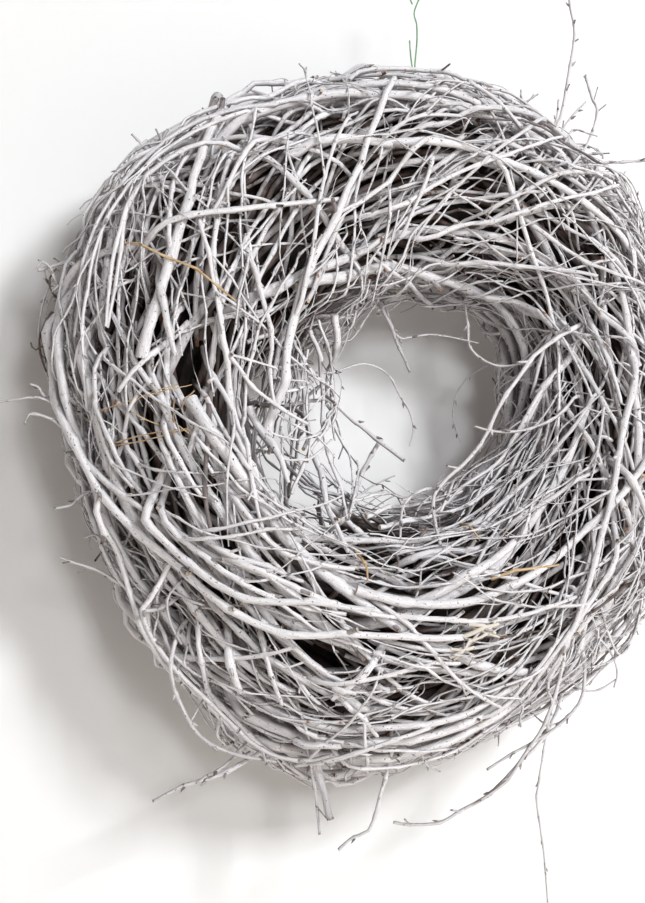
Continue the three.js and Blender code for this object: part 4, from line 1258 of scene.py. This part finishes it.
def wire_line():
    """The line of the wire: down in front of the stout twig, round under it, up and into the eye."""
    twig = on_ring(HANGER["angle"], HANGER["turn"], HANGER["height"])
    grip = HANGER["radius"] + WIRE_BEND_ROOM + WIRE_DIAMETER / 2
    slant = grip * math.sqrt(0.5)
    beside = [
        (-3.4, -grip, 21), (-3, -grip, 9), (-2, -grip, 0), (-1, -slant, -slant), (0, 0, -grip),
        (1, slant, -slant), (2, grip, 0), (3.4, grip + 0.6, 11), (6.6, grip + 4, 27),
        (8.4, grip + 8, 40),
    ]
    stops = [twig + np.array(point) for point in beside]
    eye = np.array(EYE_CENTRE, float)
    stops.append(eye + (-0.6, 0, -2.7 * EYE_RADIUS))
    for bearing in range(-35, 216, 25):
        turned = math.radians(bearing)
        stops.append(eye + EYE_RADIUS * np.array((math.cos(turned), 0, math.sin(turned))))
    stops.append(eye + (-1.7, 0, -1.8 * EYE_RADIUS))
    return smooth_line(stops, 6)


# The linear colour of the two lights in front.
COOL_LIGHT = (0.965, 0.985, 1.0)


def count_setting(name, description, default):
    """A setting that is a number of twigs."""
    return IntProperty(name=name, description=description, default=default, min=0)


def share_setting(name, description, default):
    """A setting that is a share."""
    return FloatProperty(name=name, description=description, default=default, min=0, max=1,
                         subtype="FACTOR")


def length_setting(name, description, default):
    """A setting that is a length in metres."""
    return FloatProperty(name=name, description=description, default=default, unit="LENGTH")


def place_setting(name, description, default):
    """A setting that is a place in metres, from the middle of the hole."""
    return FloatVectorProperty(name=name, description=description, default=default, unit="LENGTH")


def power_setting(name, description, default):
    """A setting that is a lamp's power in watts."""
    return FloatProperty(name=name, description=description, default=default, unit="POWER")


def angle_setting(name, description, degrees):
    """A setting that is an angle, given in degrees."""
    return FloatProperty(name=name, description=description, default=math.radians(degrees),
                         subtype="ANGLE")


def colour_setting(name, description, code):
    """A setting that is the colour of a surface, given as sRGB hex."""
    return FloatVectorProperty(name=name, description=description, default=linear(code), size=4,
                               subtype="COLOR")


def light_setting(name, description, default):
    """A setting that is the linear colour of light."""
    return FloatVectorProperty(name=name, description=description, default=default,
                               size=len(default), subtype="COLOR")


class WreathTwigs(bpy.types.PropertyGroup):
    """How many twigs the wreath is laid up from, and how."""

    seed: IntProperty(name="Seed", description="The draw of the twigs' places", default=7, min=0)
    packed_twigs: count_setting("Packed twigs", "Twigs deep in the ring", 330)
    stout_twigs: count_setting("Stout twigs", "Twigs 5 to 8 mm thick", 130)
    medium_twigs: count_setting("Medium twigs", "Twigs 3 to 5 mm thick", 700)
    thin_twigs: count_setting("Thin twigs", "Twigs 1.3 to 2.4 mm thick", 840)
    fine_twigs: count_setting("Fine twigs", "Twigs 0.7 to 1.2 mm thick", 700)
    back_share: share_setting("Back share", "Density of twigs at the back against the face", 0.5)
    stout_share_at_hole: share_setting(
        "Stout share at hole", "Density of stout twigs at the hole against the face", 0.08)
    bare_share: share_setting("Bare share", "Share of the thin twigs that the paint missed", 0.05)


class WreathFinish(bpy.types.PropertyGroup):
    """The colours of the wreath."""

    white_paint: colour_setting("White paint", "Thick paint", "#F8F6F8")
    # Also the painted shade on the side of a twig that faces into the ring.
    grey_paint_and_shade: colour_setting("Grey paint", "Thin paint over bark", "#ADA9AC")
    bark: colour_setting("Bark", "Bare bark", "#5E483F")
    dark_bark: colour_setting("Dark bark", "The darker patches of bark", "#2E231F")
    # Nearly black: bare bark, and painted shade deep in the gaps.
    inside_bark_and_shade: colour_setting("Inside bark", "Bark deep in the ring", "#1A1412")
    russet: colour_setting("Russet", "Worn bud scales", "#A0633A")
    cut_wood: colour_setting("Cut wood", "Wood at fresh cuts", "#E0C8A4")
    torn_wood: colour_setting("Torn wood", "Pale wood at torn ends", "#E8E0D4")
    old_wood: colour_setting("Old wood", "The darker grain of bare wood", "#B98F62")
    lacquer: colour_setting("Lacquer", "Wire lacquer", "#5C9A66")
    pale_lacquer: colour_setting("Pale lacquer", "Lacquer that was bent", "#86B488")


class WreathStage(bpy.types.PropertyGroup):
    """The wall, the floor, the lights and the view. Lights are placed from the middle of the hole."""

    wall_gap: length_setting("Wall gap", "Space behind the wreath", 1.5 * MM)
    floor_drop: length_setting("Floor drop", "Floor below the wreath", 0.42)
    half_width: length_setting("Half width", "Wall and floor to each side", 2.6)
    wall_top: length_setting("Wall top", "Top of the wall", 2.0)
    floor_reach: length_setting("Floor reach", "Floor in front of the wall", 4.5)
    wall_colour: colour_setting("Wall", "Wall paint", "#F7F7F7")
    floor_colour: colour_setting("Floor", "Floor paint", "#EFE7DE")
    key_place: place_setting("Key place", "The main light, to the right and above", (1.48, -3.03, 1.31))
    key_power: power_setting("Key power", "Power of the main light", 92.0)
    key_size: length_setting("Key size", "Side of the main light", 0.7)
    front_place: place_setting("Front place", "The light in front", (0.13, -3.57, 0.39))
    front_power: power_setting("Front power", "Power of the light in front", 39.0)
    front_size: length_setting("Front size", "Side of the light in front", 0.7)
    back_place: place_setting("Back place", "The light behind", (0.5, 1.7, 0.7))
    back_power: power_setting("Back power", "Power of the light behind", 9.0)
    back_size: length_setting("Back size", "Side of the light behind", 1.2)
    key_colour: light_setting("Key colour", "Colour of the main light", COOL_LIGHT)
    front_colour: light_setting("Front colour", "Colour of the light in front", COOL_LIGHT)
    back_colour: light_setting("Back colour", "Colour of the light behind", (1.0, 0.88, 0.78))
    room_colour: light_setting("Room colour", "Light from all round", (1.0, 0.7, 0.5, 1.0))
    room_strength: FloatProperty(
        name="Room strength", description="Strength of the light from all round", default=0.032, min=0)
    azimuth: angle_setting("Azimuth", "View from the left", 20)
    elevation: angle_setting("Elevation", "View from above", -10)
    roll: angle_setting("Roll", "Tilt of the view", -2)
    distance: length_setting("Distance", "From the middle of the hole", 1.0)
    aim: place_setting("Aim", "Middle of the picture", (-0.062, 0.0, -0.036))
    lens: FloatProperty(
        name="Lens", description="Focal length in mm on a 36 mm side", default=62.7)


class WREATH_OT_stage(bpy.types.Operator):
    """Makes the wall, the floor, the lights and the camera"""

    bl_idname = "wreath.stage"
    bl_label = "Stage"

    def execute(self, context):
        stage = context.scene.wreath_stage
        low, high = CAD_BOX
        half, front = stage.half_width, -stage.floor_reach
        back, bottom = high.y + stage.wall_gap, low.z - stage.floor_drop
        wall_points = [(-half, back, bottom), (half, back, bottom),
                       (half, back, stage.wall_top), (-half, back, stage.wall_top)]
        wall = mesh_object("wall", wall_points, [(0, 1, 2, 3)],
                           wall_paint("matt_wall_paint", stage.wall_colour, True))
        # The light behind reaches the back of the ring through the wall.
        wall.visible_shadow = False
        floor_points = [(-half, front, bottom), (half, front, bottom),
                        (half, back, bottom), (-half, back, bottom)]
        floor = mesh_object("floor", floor_points, [(0, 1, 2, 3)],
                            wall_paint("matt_floor_paint", stage.floor_colour))
        for name in ("key", "front", "back"):
            self.make_light(stage, name)
        self.make_camera(context, stage)
        world = bpy.data.worlds.new("studio")
        context.scene.world = world
        world.use_nodes = True
        background = world.node_tree.nodes["Background"]
        background.inputs["Color"].default_value = stage.room_colour
        background.inputs["Strength"].default_value = stage.room_strength
        context.scene.view_settings.view_transform = "Standard"
        return {"FINISHED"}

    @staticmethod
    def make_light(stage, name):
        """A square soft light that faces the middle of the wreath."""
        light = bpy.data.lights.new(name, "AREA")
        light.size = getattr(stage, f"{name}_size")
        light.energy = getattr(stage, f"{name}_power")
        light.color = getattr(stage, f"{name}_colour")
        lamp = new_object(name, light)
        middle = Vector(RING_CENTRE * MM)
        lamp.location = middle + Vector(getattr(stage, f"{name}_place"))
        lamp.rotation_euler = (middle - lamp.location).to_track_quat("-Z", "Y").to_euler()

    @staticmethod
    def make_camera(context, stage):
        """The camera, to the left of the wreath and a little below it."""
        middle = Vector(RING_CENTRE * MM)
        level = math.cos(stage.elevation)
        back = Vector((-math.sin(stage.azimuth) * level, -math.cos(stage.azimuth) * level,
                       math.sin(stage.elevation)))
        place = middle + back * stage.distance
        ahead = (middle + Vector(stage.aim) - place).normalized()
        right = ahead.cross(Vector((0, 0, 1))).normalized()
        up = right.cross(ahead)
        turned_right = math.cos(stage.roll) * right + math.sin(stage.roll) * up
        turned_up = math.cos(stage.roll) * up - math.sin(stage.roll) * right
        camera = bpy.data.cameras.new("camera")
        camera.lens = stage.lens
        camera.sensor_width = 36
        eye = new_object("camera", camera)
        eye.matrix_world = Matrix.Translation(place) @ Matrix(
            (turned_right, turned_up, -ahead)).transposed().to_4x4()
        context.scene.camera = eye


class WREATH_OT_wire(bpy.types.Operator):
    """Makes the hanging wire with its eye"""

    bl_idname = "wreath.wire"
    bl_label = "Hanging wire"

    def execute(self, context):
        points = (wire_line() + RING_CENTRE) * MM
        curve = bpy.data.curves.new("wire", "CURVE")
        curve.dimensions = "3D"
        spline = curve.splines.new("POLY")
        spline.points.add(len(points) - 1)
        for target, point in zip(spline.points, points):
            target.co = (*point, 1.0)
        curve.bevel_depth = WIRE_DIAMETER / 2 * MM
        curve.bevel_resolution = 2
        curve.use_fill_caps = True
        curve.materials.append(lacquered_wire(context.scene.wreath_finish))
        wire = new_object("wire", curve)
        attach(wire, "root")
        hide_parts("hanging_wire")
        return {"FINISHED"}


class WREATH_OT_middle(bpy.types.Operator):
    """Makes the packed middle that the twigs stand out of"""

    bl_idname = "wreath.middle"
    bl_label = "Packed middle"

    def execute(self, context):
        # Each ring of points has ridges and furrows by turns, a little uneven, and they wind to and fro
        # five times on their way round.
        rings, sides = 120, 72
        angle, turn = np.meshgrid(np.arange(rings) * 360 / rings, np.arange(sides) * 360 / sides,
                                  indexing="ij")
        wound = turn + 6 * np.sin(np.radians(angle * 5))
        is_ridge = np.arange(sides)[None, :] % 2 == 0
        uneven = np.random.default_rng(3).normal(0, 0.8, angle.shape)
        height = np.where(is_ridge, -HEART_DEPTH + 0.5, -HEART_DEPTH - 3.5) + uneven
        height -= LOOSE["depth"] * loose_share(angle, turn)
        points = (on_heap(angle.ravel(), wound.ravel(), height.ravel()) + RING_CENTRE) * MM
        faces = []
        for ring in range(rings):
            after = (ring + 1) % rings
            for side in range(sides):
                beside = (side + 1) % sides
                faces.append((ring * sides + side, ring * sides + beside,
                              after * sides + beside, after * sides + side))
        # Its nearly black bark is partly painted shade for the deep gaps.
        middle = mesh_object("packed_middle", points, faces, bark_in_painted_shade(context.scene.wreath_finish))
        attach(middle, "root")
        return {"FINISHED"}


class WREATH_OT_bunches(bpy.types.Operator):
    """Lays up the twig bunches, each in place of its solid"""

    bl_idname = "wreath.bunches"
    bl_label = "Twig bunches"

    def execute(self, context):
        bundles, across = Builder(context.scene.wreath_twigs).build()
        bark = whitewashed_bark(context.scene.wreath_finish)
        tree, sockets = twig_tree()
        pieces = [(f"twigs_of_bunch_{number:02d}", f"twig_bunch_{number:02d}", bundle)
                  for number, bundle in enumerate(bundles, 1)]
        pieces.append(("twigs_across_hole", None, across))
        for name, node, bundle in pieces:
            piece = new_object(name, bundle.mesh(name))
            maker = piece.modifiers.new("Twigs", "NODES")
            maker.node_group = tree
            for setting, (_, value) in TREE_INPUTS.items():
                maker[sockets[setting]] = bark if setting == "Bark" else value
            make_plain(piece)
            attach(piece, "root")
            if node:
                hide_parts(node)
        return {"FINISHED"}


class WREATH_PT_panel(bpy.types.Panel):
    """Lists the pieces of the wreath"""

    bl_idname = "WREATH_PT_panel"
    bl_label = "Wreath"
    bl_space_type = "VIEW_3D"
    bl_region_type = "UI"
    bl_category = "Wreath"

    def draw(self, context):
        for operator in OPERATORS:
            self.layout.operator(operator.bl_idname)
        for group in (context.scene.wreath_twigs, context.scene.wreath_finish, context.scene.wreath_stage):
            box = self.layout.box()
            for name in group.__annotations__:
                box.prop(group, name)


SETTINGS = {"wreath_twigs": WreathTwigs, "wreath_finish": WreathFinish, "wreath_stage": WreathStage}
OPERATORS = [WREATH_OT_stage, WREATH_OT_wire, WREATH_OT_middle, WREATH_OT_bunches]


def register():
    for group in (*SETTINGS.values(), *OPERATORS, WREATH_PT_panel):
        bpy.utils.register_class(group)
    for name, group in SETTINGS.items():
        setattr(bpy.types.Scene, name, PointerProperty(type=group))


def unregister():
    for name in SETTINGS:
        delattr(bpy.types.Scene, name)
    for group in reversed((*SETTINGS.values(), *OPERATORS, WREATH_PT_panel)):
        bpy.utils.unregister_class(group)


def main():
    """Builds the wreath and its stage."""
    register()
    bpy.ops.wreath.stage()
    bpy.ops.wreath.wire()
    bpy.ops.wreath.middle()
    bpy.ops.wreath.bunches()


if __name__ == "__main__":
    main()
